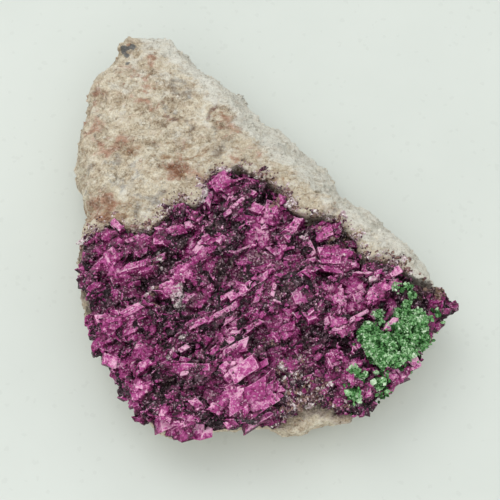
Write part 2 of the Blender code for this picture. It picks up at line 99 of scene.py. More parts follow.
# Marks on the crust: column, row, radius in pixels
SOOT_MARKS = [
    (147, 291, 12), (150, 312, 8), (92, 246, 8), (190, 297, 11), (196, 372, 9), (221, 260, 12),
    (236, 278, 14), (270, 262, 12), (262, 286, 10), (232, 205, 6), (252, 196, 8), (300, 262, 10),
    (286, 296, 10), (270, 344, 10), (262, 356, 8), (300, 372, 11), (310, 342, 8), (288, 398, 12),
    (300, 412, 8), (424, 284, 10), (417, 276, 8), (170, 256, 10), (182, 240, 9), (140, 262, 8),
    (160, 340, 9), (128, 300, 8), (168, 380, 9), (206, 350, 7), (332, 300, 8), (226, 342, 8),
    (246, 372, 6), (160, 395, 6), (350, 250, 8), (368, 262, 8), (388, 272, 9), (216, 236, 8),
    (200, 400, 9),
]
PINK_MARKS = [
    (106, 266, 13), (112, 325, 9), (132, 316, 10), (126, 352, 10), (148, 392, 14), (166, 420, 12),
    (196, 418, 9), (246, 392, 22), (262, 410, 14), (238, 372, 12), (232, 332, 14), (200, 238, 12),
    (212, 210, 9), (262, 232, 8), (344, 262, 14), (334, 316, 12), (352, 296, 12), (364, 302, 9),
    (374, 282, 7), (410, 366, 9), (392, 374, 9), (186, 270, 8), (352, 412, 8), (126, 238, 9),
    (178, 216, 8), (330, 412, 7), (344, 352, 8), (236, 192, 14), (262, 224, 10), (200, 404, 12),
    (180, 424, 12), (330, 300, 12), (440, 316, 8), (150, 425, 8), (270, 210, 8), (246, 246, 7),
    (166, 268, 7),
]
CHALK_MARKS = [
    (179, 287, 8), (176, 299, 6), (218, 207, 3), (306, 404, 4), (293, 388, 4), (341, 232, 3),
    (304, 236, 3), (350, 248, 4), (165, 226, 4), (182, 344, 4), (190, 352, 4), (330, 240, 3),
    (360, 248, 4),
]
GRAVEL_MARKS = [
    (300, 398, 15), (292, 380, 10), (310, 412, 10), (318, 374, 8), (324, 398, 10), (284, 366, 8),
    (298, 362, 7), (286, 410, 8), (338, 404, 7), (270, 344, 5), (165, 258, 5), (352, 244, 5),
    (150, 294, 6),
]
# Where the crystals are finer, and where the big faces stay clear of small ones
FINE_MARKS = [(438, 296, 20), (424, 286, 16), (450, 308, 20), (440, 322, 14), (412, 274, 10), (396, 266, 8)]
CLEAR_MARKS = [
    (250, 370, 15), (256, 386, 15), (246, 402, 16), (260, 410, 13), (106, 264, 14), (212, 233, 8),
    (146, 390, 11), (168, 418, 9), (330, 252, 11), (336, 322, 8), (360, 314, 7), (297, 286, 9),
    (233, 344, 10), (105, 319, 8), (150, 351, 10), (248, 284, 8), (222, 336, 7), (318, 240, 6),
    (272, 206, 6), (376, 290, 6),
]
# Where the crust is stained brown
BROWN_MARKS = [
    (308, 408, 14), (322, 396, 10), (425, 276, 11), (438, 292, 10), (330, 242, 8), (352, 240, 8),
    (366, 258, 8), (268, 204, 7), (390, 262, 8), (410, 268, 8), (296, 418, 8), (150, 220, 8),
    (110, 222, 8), (318, 226, 8),
]

# Crystals that stand out of the crust, each along a line on its top face as seen in the picture: column, row
# and lift in millimetres at both ends; width and depth in millimetres, roll in degrees; how pink, sooty and
# chalky it is, from 0 to 1
KEY_CRYSTALS = [
    # Left side and lower left
    (117, 270.5, 0.5, 146, 262, 0.8, 1.3, 2.5, -15, 0.55, 0.25, 0.0),
    (90, 284, 0.3, 106, 292, 0.3, 2.0, 2.5, 10, 0.45, 0.35, 0.0),
    (107, 287, 0.3, 121, 298, 0.1, 1.7, 2.5, 25, 0.40, 0.10, 0.0),
    (94, 319, 0.9, 115, 318, 1.0, 1.4, 3.5, 6, 0.85, 0.05, 0.1),
    (120, 316, 0.8, 141, 305, 1.0, 1.2, 3.5, 14, 0.62, 0.10, 0.0),
    (127, 337, 0.5, 144, 328, 0.6, 2.4, 2.0, 8, 0.55, 0.30, 0.0),
    (131, 345, 0.9, 174, 358, 0.3, 1.8, 3.0, 20, 0.58, 0.30, 0.1),
    (97, 345, 0.2, 114, 350, 0.3, 1.4, 2.5, 10, 0.45, 0.30, 0.0),
    (101, 357, 0.3, 116, 363, 0.4, 1.8, 2.5, 16, 0.68, 0.05, 0.0),
    (110, 371, 0.2, 124, 383, 0.2, 1.6, 2.5, 25, 0.50, 0.10, 0.0),
    (147, 377, 0.3, 145, 402, 0.1, 2.9, 3.0, -6, 0.55, 0.35, 0.0),
    (163, 392, 0.1, 180, 398, 0.1, 2.2, 2.0, 5, 0.25, 0.85, 0.0),
    (157, 424, 0.5, 179, 413, 0.7, 2.6, 3.0, 12, 0.80, 0.05, 0.0),
    (180, 431, 0.3, 203, 425, 0.4, 2.0, 3.0, 25, 0.68, 0.10, 0.0),
    (190, 398, 0.6, 206, 413, 0.3, 1.3, 2.5, 15, 0.78, 0.00, 0.0),
    (181, 373, 0.4, 199, 370, 0.4, 0.8, 1.5, 0, 0.95, 0.00, 0.35),
    (181, 367, 0.5, 212, 368, 0.5, 1.2, 3.0, 25, 0.50, 0.20, 0.0),
    (205, 395, 0.1, 226, 405, 0.1, 2.6, 2.0, 5, 0.30, 0.75, 0.0),
    (136, 308, 0.2, 148, 300, 0.2, 1.6, 2.0, 10, 0.30, 0.60, 0.0),
    (160, 366, 0.3, 180, 362, 0.3, 1.4, 2.0, 18, 0.40, 0.35, 0.0),
    # Big bright block of parallel ridges
    (231, 376, 1.9, 259, 357, 2.1, 2.6, 4.0, 12, 0.62, 0.00, 0.0),
    (231, 390, 2.0, 269, 366, 2.2, 2.8, 4.0, 14, 0.54, 0.00, 0.0),
    (232, 404, 1.9, 273, 379, 2.1, 2.8, 4.0, 16, 0.50, 0.00, 0.0),
    (236, 416, 1.5, 275, 392, 1.8, 2.6, 4.0, 16, 0.52, 0.00, 0.0),
    (246, 424, 1.0, 274, 407, 1.3, 2.2, 3.5, 18, 0.70, 0.05, 0.0),
    (226, 426, 0.3, 242, 420, 0.3, 1.2, 3.0, 20, 0.70, 0.10, 0.1),
    # Diagonal blades of the middle
    (213, 352, 1.0, 248, 329, 1.1, 1.2, 3.5, 12, 0.72, 0.05, 0.0),
    (218, 359, 0.9, 247, 343, 1.0, 1.6, 3.5, 16, 0.80, 0.00, 0.0),
    (188, 327, 0.6, 205, 319, 0.7, 1.1, 2.5, 14, 0.66, 0.05, 0.0),
    (218, 315, 0.6, 238, 305, 0.7, 1.1, 2.5, 12, 0.72, 0.00, 0.0),
    (206, 322, 0.4, 222, 312, 0.5, 0.9, 2.5, 12, 0.60, 0.10, 0.0),
    (222, 324, 0.5, 246, 308, 0.6, 0.9, 2.5, 14, 0.50, 0.25, 0.0),
    (232, 326, 0.7, 260, 311, 0.8, 0.6, 2.5, 10, 0.85, 0.00, 0.25),
    (232, 338, 0.4, 262, 320, 0.5, 0.9, 2.5, 14, 0.48, 0.20, 0.0),
    (229, 297, 0.5, 251, 284, 0.7, 1.5, 3.0, 10, 0.72, 0.05, 0.0),
    (248, 286, 0.8, 270, 272, 0.7, 1.1, 3.0, 22, 0.66, 0.10, 0.0),
    (184, 300, 0.3, 193, 292, 0.4, 1.6, 2.0, 10, 0.74, 0.00, 0.1),
    (172, 272, 0.4, 188, 268, 0.5, 1.6, 2.5, 8, 0.72, 0.00, 0.1),
    (198, 348, 0.4, 200, 335, 0.5, 0.8, 2.5, 0, 0.55, 0.10, 0.0),
    (170, 352, 0.5, 176, 345, 0.6, 0.6, 1.5, 0, 0.95, 0.00, 0.6),
    (179, 350, 0.6, 190, 343, 0.7, 0.9, 2.0, 5, 0.92, 0.00, 0.4),
    (192, 262, 0.3, 207, 254, 0.3, 1.6, 2.0, 12, 0.40, 0.25, 0.0),
    (196, 282, 0.2, 210, 274, 0.3, 1.5, 2.0, 12, 0.42, 0.25, 0.0),
    (151, 318, 0.1, 166, 310, 0.1, 1.8, 2.0, 8, 0.35, 0.35, 0.0),
    (176, 322, 0.1, 186, 312, 0.2, 1.4, 2.0, 10, 0.35, 0.35, 0.0),
    # Upper left and top
    (158, 224, 0.7, 175, 224, 0.8, 0.9, 2.5, 0, 0.80, 0.00, 0.55),
    (157, 231, 0.4, 174, 232, 0.5, 1.3, 2.5, 45, 0.66, 0.00, 0.0),
    (111, 219, 0.3, 122, 230, 0.3, 1.2, 2.0, 10, 0.68, 0.05, 0.0),
    (124, 243, 0.3, 140, 236, 0.4, 0.9, 2.0, 12, 0.62, 0.15, 0.3),
    (128, 256, 0.2, 148, 250, 0.2, 1.2, 2.0, 12, 0.42, 0.35, 0.0),
    (150, 262, 0.2, 166, 254, 0.2, 1.0, 2.0, 12, 0.42, 0.40, 0.0),
    (218, 249, 0.4, 236, 252, 0.4, 0.5, 1.5, 0, 0.92, 0.00, 0.2),
    (203, 228, 1.0, 222, 238, 0.9, 2.3, 3.0, 12, 0.82, 0.00, 0.0),
    (184, 226, 0.5, 202, 219, 0.6, 1.4, 2.5, 12, 0.66, 0.05, 0.0),
    (232, 207, 1.2, 252, 190, 1.4, 0.7, 3.5, 15, 0.85, 0.00, 0.1),
    (207, 206, 0.6, 211, 188, 0.8, 1.2, 2.5, 0, 0.78, 0.00, 0.05),
    (214, 187, 0.4, 232, 173, 0.4, 2.4, 2.5, 10, 0.46, 0.20, 0.0),
    (222, 199, 0.3, 240, 185, 0.5, 2.0, 2.5, 12, 0.42, 0.25, 0.0),
    (243, 188, 0.8, 256, 193, 0.7, 1.0, 2.5, 5, 0.78, 0.00, 0.1),
    (249, 206, 0.6, 262, 211, 0.6, 1.7, 3.0, 10, 0.70, 0.12, 0.0),
    (264, 203, 0.7, 281, 209, 0.6, 1.6, 3.0, 10, 0.76, 0.05, 0.0),
    (222, 216, 0.6, 230, 210, 0.7, 0.9, 2.0, 0, 0.88, 0.00, 0.2),
    (252, 224, 0.2, 266, 232, 0.2, 1.6, 2.0, 12, 0.42, 0.20, 0.0),
    (240, 229, 0.3, 252, 222, 0.3, 1.2, 2.0, 12, 0.55, 0.15, 0.0),
    (247, 265, 0.5, 270, 251, 0.7, 3.0, 2.5, 4, 0.14, 1.00, 0.0),
    (268, 246, 0.8, 281, 257, 0.6, 0.8, 2.5, 5, 0.60, 0.15, 0.0),
    (235, 252, 0.6, 250, 246, 0.7, 0.6, 2.0, 5, 0.82, 0.05, 0.1),
    (268, 284, 0.2, 279, 301, 0.2, 2.4, 2.5, -6, 0.18, 0.90, 0.0),
    (290, 271, 0.7, 303, 301, 0.6, 2.7, 3.0, -8, 0.52, 0.30, 0.0),
    (272, 297, 0.5, 276, 283, 0.6, 0.8, 2.0, 0, 0.86, 0.05, 0.2),
    (272, 299, 0.5, 286, 304, 0.5, 0.5, 1.5, 0, 0.90, 0.00, 0.5),
    (257, 302, 0.5, 260, 287, 0.6, 0.9, 2.5, 0, 0.64, 0.15, 0.0),
    (299, 234, 0.9, 307, 238, 0.9, 0.8, 2.0, 5, 0.95, 0.00, 0.8),
    (306, 240, 0.7, 313, 254, 0.5, 1.1, 2.5, 10, 0.86, 0.00, 0.1),
    (294, 227, 0.5, 302, 215, 0.7, 1.4, 2.5, 5, 0.72, 0.05, 0.0),
    (284, 240, 0.3, 294, 228, 0.4, 1.3, 2.5, 8, 0.52, 0.20, 0.0),
    (313, 236, 1.0, 332, 228, 1.1, 1.9, 4.0, 6, 0.62, 0.10, 0.0),
    (320, 252, 0.7, 343, 252, 0.8, 3.4, 4.0, -4, 0.55, 0.15, 0.0),
    (318, 261, 0.8, 339, 264, 0.8, 0.6, 2.5, 6, 0.90, 0.05, 0.2),
    (305, 271, 0.7, 318, 267, 0.8, 0.8, 3.0, 12, 0.60, 0.05, 0.0),
    (318, 267, 0.8, 340, 270, 0.8, 1.0, 3.0, 16, 0.50, 0.05, 0.0),
    # Right side
    (325, 280, 0.5, 328, 297, 0.5, 1.1, 2.5, 0, 0.64, 0.10, 0.0),
    (331, 299, 0.9, 340, 296, 0.9, 1.9, 2.5, 6, 0.72, 0.15, 0.1),
    (328, 322, 0.9, 345, 322, 1.0, 2.5, 3.5, 16, 0.96, 0.00, 0.1),
    (350, 320, 1.0, 371, 308, 1.1, 0.7, 3.0, 10, 0.95, 0.00, 0.15),
    (371, 318, 0.6, 376, 308, 0.7, 1.2, 2.5, 5, 0.88, 0.00, 0.1),
    (372, 286, 0.7, 385, 293, 0.6, 1.3, 2.5, 8, 0.74, 0.05, 0.0),
    (352, 300, 0.5, 366, 292, 0.6, 1.8, 2.5, 10, 0.66, 0.15, 0.0),
    (366, 303, 0.4, 379, 296, 0.5, 1.2, 2.5, 10, 0.58, 0.10, 0.0),
    (368, 279, 0.8, 379, 276, 0.8, 1.0, 2.0, 5, 0.85, 0.00, 0.75),
    (353, 271, 0.8, 371, 273, 0.8, 0.5, 2.0, 5, 0.92, 0.05, 0.4),
    (388, 274, 0.8, 400, 268, 0.8, 1.4, 2.5, 10, 0.78, 0.05, 0.0),
    (386, 281, 0.5, 400, 281, 0.5, 1.3, 2.5, 14, 0.60, 0.05, 0.0),
    (386, 330, 3.4, 395, 317, 4.2, 1.1, 4.0, 5, 0.80, 0.00, 0.2),
    (427, 311, 0.4, 440, 313, 0.4, 1.1, 2.5, 10, 0.60, 0.20, 0.0),
    (408, 364, 0.5, 419, 359, 0.5, 2.2, 2.5, 12, 0.80, 0.05, 0.0),
    (389, 376, 0.4, 406, 371, 0.4, 1.8, 2.5, 16, 0.74, 0.05, 0.0),
    (330, 362, 0.4, 348, 356, 0.5, 2.2, 2.5, 10, 0.58, 0.25, 0.0),
    (350, 366, 0.4, 366, 361, 0.4, 1.8, 2.5, 10, 0.58, 0.20, 0.0),
    (336, 386, 0.3, 352, 380, 0.4, 2.2, 2.5, 12, 0.52, 0.25, 0.0),
    (356, 394, 0.4, 371, 388, 0.4, 2.2, 2.5, 14, 0.45, 0.30, 0.0),
    (331, 401, 0.5, 342, 404, 0.4, 1.2, 2.0, 8, 0.88, 0.00, 0.2),
    (290, 371, 0.3, 303, 368, 0.3, 1.1, 2.0, 8, 0.72, 0.10, 0.1),
    (348, 347, 0.3, 364, 340, 0.4, 1.6, 2.0, 12, 0.52, 0.15, 0.0),
    (276, 322, 0.2, 289, 317, 0.3, 1.4, 2.0, 8, 0.60, 0.25, 0.0),
    (300, 352, 0.2, 316, 344, 0.2, 1.3, 2.0, 12, 0.42, 0.45, 0.0),
    (306, 322, 0.2, 318, 312, 0.3, 1.2, 2.0, 12, 0.42, 0.30, 0.0),
]
# The share of their lift that is used, and in millimetres how wide their blunt edges are and how rough
# they and their growth steps are
KEY_LIFT = 0.55
KEY_BEVEL = 0.10
KEY_ROUGH = 0.22
STEP_ROUGH = 0.20

# The same for the scattered crystals, while they are a millimetre wide
SMALL_BEVEL = 0.07
SMALL_ROUGH = 0.30

# The width of a crystal's broken facets in millimetres, and how much narrower a crystal gets over its height
BREAK = 1.25
FLARE = 0.22

# Three-sided peaks: apex column, row and lift; where the three feet are seen; pink
PEAKS = [
    (112.5, 246, 2.8, (91, 268), (114, 284), (124, 262), 0.92),
    (141, 347, 0.6, (133, 356), (146, 362), (152, 352), 0.5),
]

# The width in millimetres of the small faces of each piece's skin
ROCK_SKIN = 0.40
CRUST_SKIN = 0.27
MALACHITE_SKIN = 0.22

# What is scattered over the crust, its rims and the rock: how many, and their sizes in millimetres
CRYSTAL_KINDS = 14
SMALL_CRYSTALS = 1500
SMALL_SIZES = (0.45, 2.00)
TINY_CRYSTALS = 2500
TINY_SIZES = (0.16, 0.50)
DUST_GRAINS = 9000
DUST_SIZES = (0.06, 0.19)
RIM_CRYSTALS = 1300
RIM_SIZES = (0.32, 1.20)
RIM_GRAINS = 2600
GRAVEL = 2300
GRAVEL_SIZES = (0.12, 0.38)
ROCK_GRAINS = 1700
ROCK_GRAIN_SIZES = (0.08, 0.36)
STRAY_GRAINS = 1500
CHIPS_PER_SQUARE = 24

# The lowest crystals on the crust, the height above which all of it is open, and the lowest on the rock
CRUST_LOW = 8.2
CRUST_OPEN = 11.8
RIM_LOW = 9.5

# Width in millimetres of the dark band of rock where the crust begins
FRINGE_WIDTH = 3.2

# The direction in which most crystals run and how much it varies, in degrees, and how pink the dullest are
HEADING = 35.0
HEADING_SPREAD = 38.0
LEAST_PINK = 0.06

# Malachite lumps on the specimen as drawn: x, y and radius in millimetres
MALACHITE_LUMPS = [
    (16.2, -19.6, 1.9), (17.4, -22.2, 1.9), (19.2, -21.4, 2.0), (21.2, -20.2, 2.1), (22.6, -18.2, 2.0),
    (21.4, -16.4, 1.5), (23.8, -16.6, 1.3), (23.8, -19.8, 1.5), (21.4, -22.0, 1.6), (19.4, -23.2, 1.6),
    (20.4, -18.6, 1.6), (17.9, -24.0, 1.1), (21.9, -14.4, 1.0), (20.2, -11.4, 0.8), (22.1, -11.5, 0.8),
    (22.7, -12.5, 0.8), (17.6, -15.9, 0.8), (26.6, -15.4, 0.7), (17.6, -26.9, 1.2), (13.9, -25.6, 0.9),
    (14.8, -25.9, 0.7), (13.2, -28.9, 1.1),
]

# Directions of the open sky over a point, for finding hollows, which are painted darker as shade
SKY = [Vector((math.cos(a) * 0.8, math.sin(a) * 0.8, 0.6)) for a in (0.3, 1.35, 2.4, 3.45, 4.5, 5.55)]

# The middle of a cell's random values, a full turn in radians, and the turn and squeeze that make facets
# long along the crystals' heading
HALF = Vector((0.5, 0.5, 0.5))
FULL_TURN = 6.28
ALONG = Matrix.Diagonal((0.55, 1.0, 0.8)) @ Matrix.Rotation(math.radians(-HEADING), 3, "Z")


def lens_ray(column, row):
    """Start and direction of the camera's ray through a pixel of the picture."""
    tilt = math.radians(ELEVATION)
    back = Vector((0, -math.cos(tilt), math.sin(tilt)))
    up = Vector((0, math.sin(tilt), math.cos(tilt)))
    reach = LENS / FILM * FRAME_SIDE
    half = FRAME_SIDE / 2
    start = AIM + DRAWN_MIDDLE + back * DISTANCE
    return start, (Vector((1, 0, 0)) * (column - half) + up * (half - row)) / reach - back


def on_level(column, row, height):
    """Where the ray through a pixel meets a level plane, in millimetres."""
    start, way = lens_ray(column, row)
    return start + way * ((height - start.z) / way.z)


def spots(marks, height):
    """Marks as places and radii in millimetres."""
    scale = DISTANCE / (LENS / FILM * FRAME_SIDE)
    return [(on_level(column, row, height), radius * scale * SPREAD) for column, row, radius in marks]


def strength(places, point, fray=1.0):
    """How strongly a set of spots marks a point, from 0 to 1, with ragged, feathered edges."""
    wander = Vector((noise.noise(point * 0.4), noise.noise(point * 0.4 + Vector((5, 9, 1)))))
    ragged = Vector((noise.noise(point * 1.5), noise.noise(point * 1.5 + Vector((2, 4, 8)))))
    spot = point.xy + (wander * 3.0 + ragged) * fray
    found = 0.0
    for place, radius in places:
        away = (spot - place.xy).length_squared / radius ** 2
        if away < 1.0:
            found += (1.0 - away) ** 2
    return min(1.0, found)


def make_camera():
    """The camera at the picture's own angle."""
    data = bpy.data.cameras.new("camera")
    data.lens, data.sensor_width = LENS, FILM
    data.clip_start, data.clip_end = 0.01, 10.0
    camera = bpy.data.objects.new("camera", data)
    bpy.context.scene.collection.objects.link(camera)
    start, _ = lens_ray(FRAME_SIDE / 2, FRAME_SIDE / 2)
    camera.location = start * MM
    camera.rotation_euler = Euler((math.radians(90.0 - ELEVATION), 0, 0))
    bpy.context.scene.camera = camera


def make_light(name, power, size, place, aim=(0, 0, 0.01), colour=(1, 1, 1)):
    """A square lamp that looks at the specimen."""
    data = bpy.data.lights.new(name, "AREA")
    data.energy, data.size, data.color = power, size, colour
    light = bpy.data.objects.new(name, data)
    bpy.context.scene.collection.objects.link(light)
    light.location = place
    light.rotation_euler = (Vector(place) - Vector(aim)).to_track_quat("Z", "Y").to_euler()


def make_studio():
    """A window behind to the left, a broad light from above, a fill from the front and a pale room."""
    make_light("window", 0.72, 0.40, (-0.22, 0.20, 0.60), colour=(1.0, 0.99, 0.97))
    make_light("overhead", 1.25, 1.20, (0.0, -0.05, 0.90))
    make_light("front fill", 1.35, 0.80, (-0.10, -0.55, 0.45))
    world = bpy.data.worlds.new("soft room")
    world.use_nodes = True
    world.node_tree.nodes["Background"].inputs["Color"].default_value = (0.94, 0.96, 0.94, 1)
    world.node_tree.nodes["Background"].inputs["Strength"].default_value = 0.90
    bpy.context.scene.world = world
    bpy.context.scene.view_settings.view_transform = "Standard"


def node(tree, kind, settings=None, **inputs):
    """Adds a node. Its inputs take values or other nodes' sockets."""
    made = tree.nodes.new(kind)
    for name, value in (settings or {}).items():
        setattr(made, name, value)
    for name, value in inputs.items():
        socket = made.inputs[name.replace("_", " ")]
        if isinstance(value, bpy.types.NodeSocket):
            tree.links.new(value, socket)
        else:
            socket.default_value = value
    return made


def maths(tree, operation, first, second):
    """One sum of two values."""
    made = tree.nodes.new("ShaderNodeMath")
    made.operation = operation
    for socket, value in zip(made.inputs, (first, second)):
        if isinstance(value, bpy.types.NodeSocket):
            tree.links.new(value, socket)
        else:
            socket.default_value = value
    return made.outputs[0]


def total(tree, start, *parts):
    """start plus each value times its weight."""
    for value, weight in parts:
        start = maths(tree, "ADD", start, maths(tree, "MULTIPLY", value, weight))
    return start


def mixed(tree, factor, first, second, blend="MIX"):
    """One colour laid over another."""
    made = tree.nodes.new("ShaderNodeMix")
    made.data_type, made.blend_type = "RGBA", blend
    for index, value in ((0, factor), (6, first), (7, second)):
        if isinstance(value, bpy.types.NodeSocket):
            tree.links.new(value, made.inputs[index])
        else:
            made.inputs[index].default_value = (*value, 1) if index else value
    return made.outputs[2]


def ramp(tree, factor, *stops):
    """A colour ramp through stops of position and colour."""
    made = node(tree, "ShaderNodeValToRGB", Fac=factor)
    while len(made.color_ramp.elements) < len(stops):
        made.color_ramp.elements.new(0.5)
    for element, (position, colour) in zip(made.color_ramp.elements, stops):
        element.position, element.color = position, (*colour, 1)
    return made.outputs[0]


def between(tree, value, low, high):
    """0 under low, 1 over high, and a soft step from one to the other."""
    return node(
        tree, "ShaderNodeMapRange", {"interpolation_type": "SMOOTHSTEP"},
        Value=value, From_Min=low, From_Max=high,
    ).outputs[0]


def new_group(name, inputs, outputs):
    """A shader node group with named sockets: its tree, its input node and its output node."""
    tree = bpy.data.node_groups.new(name, "ShaderNodeTree")
    for label, kind in inputs.items():
        tree.interface.new_socket(label, in_out="INPUT", socket_type=kind)
    for label in outputs:
        tree.interface.new_socket(label, in_out="OUTPUT", socket_type="NodeSocketFloat")
    return tree, tree.nodes.new("NodeGroupInput"), tree.nodes.new("NodeGroupOutput")


def make_speckle_group():
    """Salt and pepper: random cells of a given size, some dark, some light."""
    tree, given, out = new_group(
        "speckle",
        {"Place": "NodeSocketVector", "Cells per mm": "NodeSocketFloat",
         "Dark share": "NodeSocketFloat", "Light share": "NodeSocketFloat"},
        ("Dark", "Light", "Random"),
    )
    cells = node(
        tree, "ShaderNodeTexVoronoi", Vector=given.outputs["Place"], Scale=given.outputs["Cells per mm"]
    )
    parts = node(tree, "ShaderNodeSeparateColor", Color=cells.outputs["Color"])
    dark = maths(tree, "LESS_THAN", parts.outputs[0], given.outputs["Dark share"])
    light = maths(tree, "LESS_THAN", parts.outputs[1], given.outputs["Light share"])
    tree.links.new(dark, out.inputs["Dark"])
    tree.links.new(light, out.inputs["Light"])
    tree.links.new(parts.outputs[2], out.inputs["Random"])
    return tree


def make_blotch_group():
    """Soft-edged patches from noise."""
    tree, given, out = new_group(
        "blotches",
        {"Place": "NodeSocketVector", "Per mm": "NodeSocketFloat",
         "From": "NodeSocketFloat", "To": "NodeSocketFloat"},
        ("Mask",),
    )
    cloud = node(
        tree, "ShaderNodeTexNoise", Vector=given.outputs["Place"], Scale=given.outputs["Per mm"],
        Detail=5.0, Roughness=0.62,
    )
    made = node(
        tree, "ShaderNodeMapRange", {"interpolation_type": "SMOOTHSTEP"},
        Value=cloud.outputs[0], From_Min=given.outputs["From"], From_Max=given.outputs["To"],
    )
    tree.links.new(made.outputs[0], out.inputs["Mask"])
    return tree


def make_facet_group():
    """Height of small flat faces that lean at random, in millimetres."""
    tree, given, out = new_group(
        "facets", {"Place": "NodeSocketVector", "Cells per mm": "NodeSocketFloat"}, ("Height",)
    )
    cells = node(
        tree, "ShaderNodeTexVoronoi", Vector=given.outputs["Place"], Scale=given.outputs["Cells per mm"]
    )
    steps = []
    for first, second in (
        (given.outputs["Place"], cells.outputs["Position"]), (cells.outputs["Color"], (0.5, 0.5, 0.5)),
    ):
        step = node(tree, "ShaderNodeVectorMath", {"operation": "SUBTRACT"})
        tree.links.new(first, step.inputs[0])
        if isinstance(second, tuple):
            step.inputs[1].default_value = second
        else:
            tree.links.new(second, step.inputs[1])
        steps.append(step.outputs[0])
    lean = node(tree, "ShaderNodeVectorMath", {"operation": "DOT_PRODUCT"})
    for socket, step in zip(lean.inputs, steps):
        tree.links.new(step, socket)
    tree.links.new(lean.outputs["Value"], out.inputs["Height"])
    return tree


SPECKLE = make_speckle_group()
BLOTCH = make_blotch_group()
FACET = make_facet_group()


def new_material(name):
    """A material with its tree, its Principled shader and places on the piece in millimetres."""
    material = bpy.data.materials.new(name)
    material.use_nodes = True
    tree = material.node_tree
    where = node(tree, "ShaderNodeTexCoord").outputs["Object"]
    place = node(tree, "ShaderNodeMapping", Vector=where, Scale=(1 / MM, 1 / MM, 1 / MM)).outputs[0]
    return material, tree, tree.nodes["Principled BSDF"], place


def speckle(tree, place, per_mm, dark=0.0, light=0.0):
    """Salt and pepper at a share of the cells, and a random value for each."""
    made = tree.nodes.new("ShaderNodeGroup")
    made.node_tree = SPECKLE
    tree.links.new(place, made.inputs["Place"])
    for name, value in (("Cells per mm", per_mm), ("Dark share", dark), ("Light share", light)):
        made.inputs[name].default_value = value
    return made.outputs


def blotches(tree, place, per_mm, low, high):
    """Soft patches, 0 where the noise is under low and 1 where it is over high."""
    made = tree.nodes.new("ShaderNodeGroup")
    made.node_tree = BLOTCH
    tree.links.new(place, made.inputs["Place"])
    for name, value in (("Per mm", per_mm), ("From", low), ("To", high)):
        made.inputs[name].default_value = value
    return made.outputs[0]


def small_faces(tree, place, per_mm):
    """Relief of small flat faces, so many to a millimetre."""
    made = tree.nodes.new("ShaderNodeGroup")
    made.node_tree = FACET
    tree.links.new(place, made.inputs["Place"])
    made.inputs["Cells per mm"].default_value = per_mm
    return made.outputs[0]


def shifted(tree, place, by, stretch):
    """The same places moved along and stretched, so that a second noise differs from the first."""
    return node(tree, "ShaderNodeMapping", Vector=place, Location=(by, -by, by), Scale=stretch).outputs[0]


def mark(tree, name):
    """A mark painted on the piece, as a value from 0 to 1."""
    made = tree.nodes.new("ShaderNodeAttribute")
    made.attribute_name = name
    return made.outputs["Fac"]


def raised(tree, shader, height, depth, roughness):
    """Gives a shader its relief, a depth in millimetres, and its roughness."""
    bump = node(tree, "ShaderNodeBump", Height=height, Strength=1.0, Distance=depth * MM)
    tree.links.new(bump.outputs[0], shader.inputs["Normal"])
    tree.links.new(roughness, shader.inputs["Roughness"])


def rock_material():
    """Cream, grainy carbonate rock with smears of rose, rust, grey and white."""
    material, tree, shader, place = new_material("pale host rock")
    broad = blotches(tree, place, 0.30, 0.34, 0.66)
    fine = blotches(tree, place, 1.1, 0.34, 0.66)
    grit = blotches(tree, place, 3.2, 0.32, 0.68)
    crumbs = speckle(tree, place, 4.2, dark=0.07, light=0.10)
    tone = total(tree, -0.07, (broad, 0.36), (fine, 0.42), (grit, 0.32), (crumbs["Random"], 0.10))
    colour = ramp(
        tree, tone, (0.0, (0.23, 0.165, 0.11)), (0.25, (0.45, 0.355, 0.25)), (0.55, (0.69, 0.60, 0.455)),
        (1.0, (0.90, 0.84, 0.70)),
    )
    # The back-right edge's mark lays a paler band there, less pale towards the foot.
    for index, (name, tint, amount) in enumerate((
        ("white", (0.84, 0.81, 0.72), 0.70), ("rose", (0.70, 0.46, 0.42), 0.90),
        ("rust", (0.54, 0.37, 0.27), 0.90), ("grey", (0.50, 0.51, 0.57), 0.80),
        ("pale_back_edge", (0.80, 0.79, 0.72), 0.85),
    )):
        smear = blotches(tree, shifted(tree, place, 11.0 * index, (0.6, 1.25, 1.0)), 0.75, 0.36, 0.64)
        patchy = between(tree, total(
            tree, 0.0, (mark(tree, name), 0.80), (smear, 0.50), (fine, 0.14), (grit, 0.20)), 0.46, 1.30)
        blend = "MIX" if name in ("white", "pale_back_edge") else "MULTIPLY"
        colour = mixed(tree, maths(tree, "MULTIPLY", patchy, amount), colour, tint, blend)
    veins = maths(tree, "MULTIPLY", mark(tree, "pale_back_edge"), blotches(tree, place, 0.9, 0.52, 0.70))
    colour = mixed(tree, maths(tree, "MULTIPLY", veins, 0.45), colour, (0.36, 0.31, 0.24))
    for share, amount, tint in (
        (crumbs["Dark"], 0.14, (0.13, 0.09, 0.07)), (crumbs["Light"], 0.22, (0.92, 0.89, 0.82)),
        (blotches(tree, place, 2.6, 0.54, 0.70), 0.42, (0.18, 0.13, 0.095)),
    ):
        colour = mixed(tree, maths(tree, "MULTIPLY", share, amount), colour, tint)
    fringe = between(tree, total(
        tree, 0.0, (mark(tree, "fringe"), 0.95), (fine, 0.46), (grit, 0.30)), 0.78, 1.40)
    dark = ramp(
        tree, grit, (0.20, (0.10, 0.065, 0.06)), (0.50, (0.26, 0.18, 0.15)), (0.85, (0.52, 0.43, 0.37)),
    )
    colour = mixed(tree, maths(tree, "MULTIPLY", fringe, 0.85), colour, dark)
    stained = between(tree, total(tree, 0.0, (mark(tree, "soot"), 1.2), (grit, 0.30)), 0.45, 0.85)
    colour = mixed(tree, maths(tree, "MULTIPLY", stained, 0.8), colour, (0.085, 0.105, 0.125))
    tree.links.new(colour, shader.inputs["Base Color"])
    relief = total(tree, 0.0, (grit, 0.10), (fine, 0.14), (small_faces(tree, place, 1.3), 0.30))
    raised(tree, shader, relief, 1.0, between(tree, fine, -1.2, 1.4))
    shader.inputs["Specular IOR Level"].default_value = 0.2
    return material


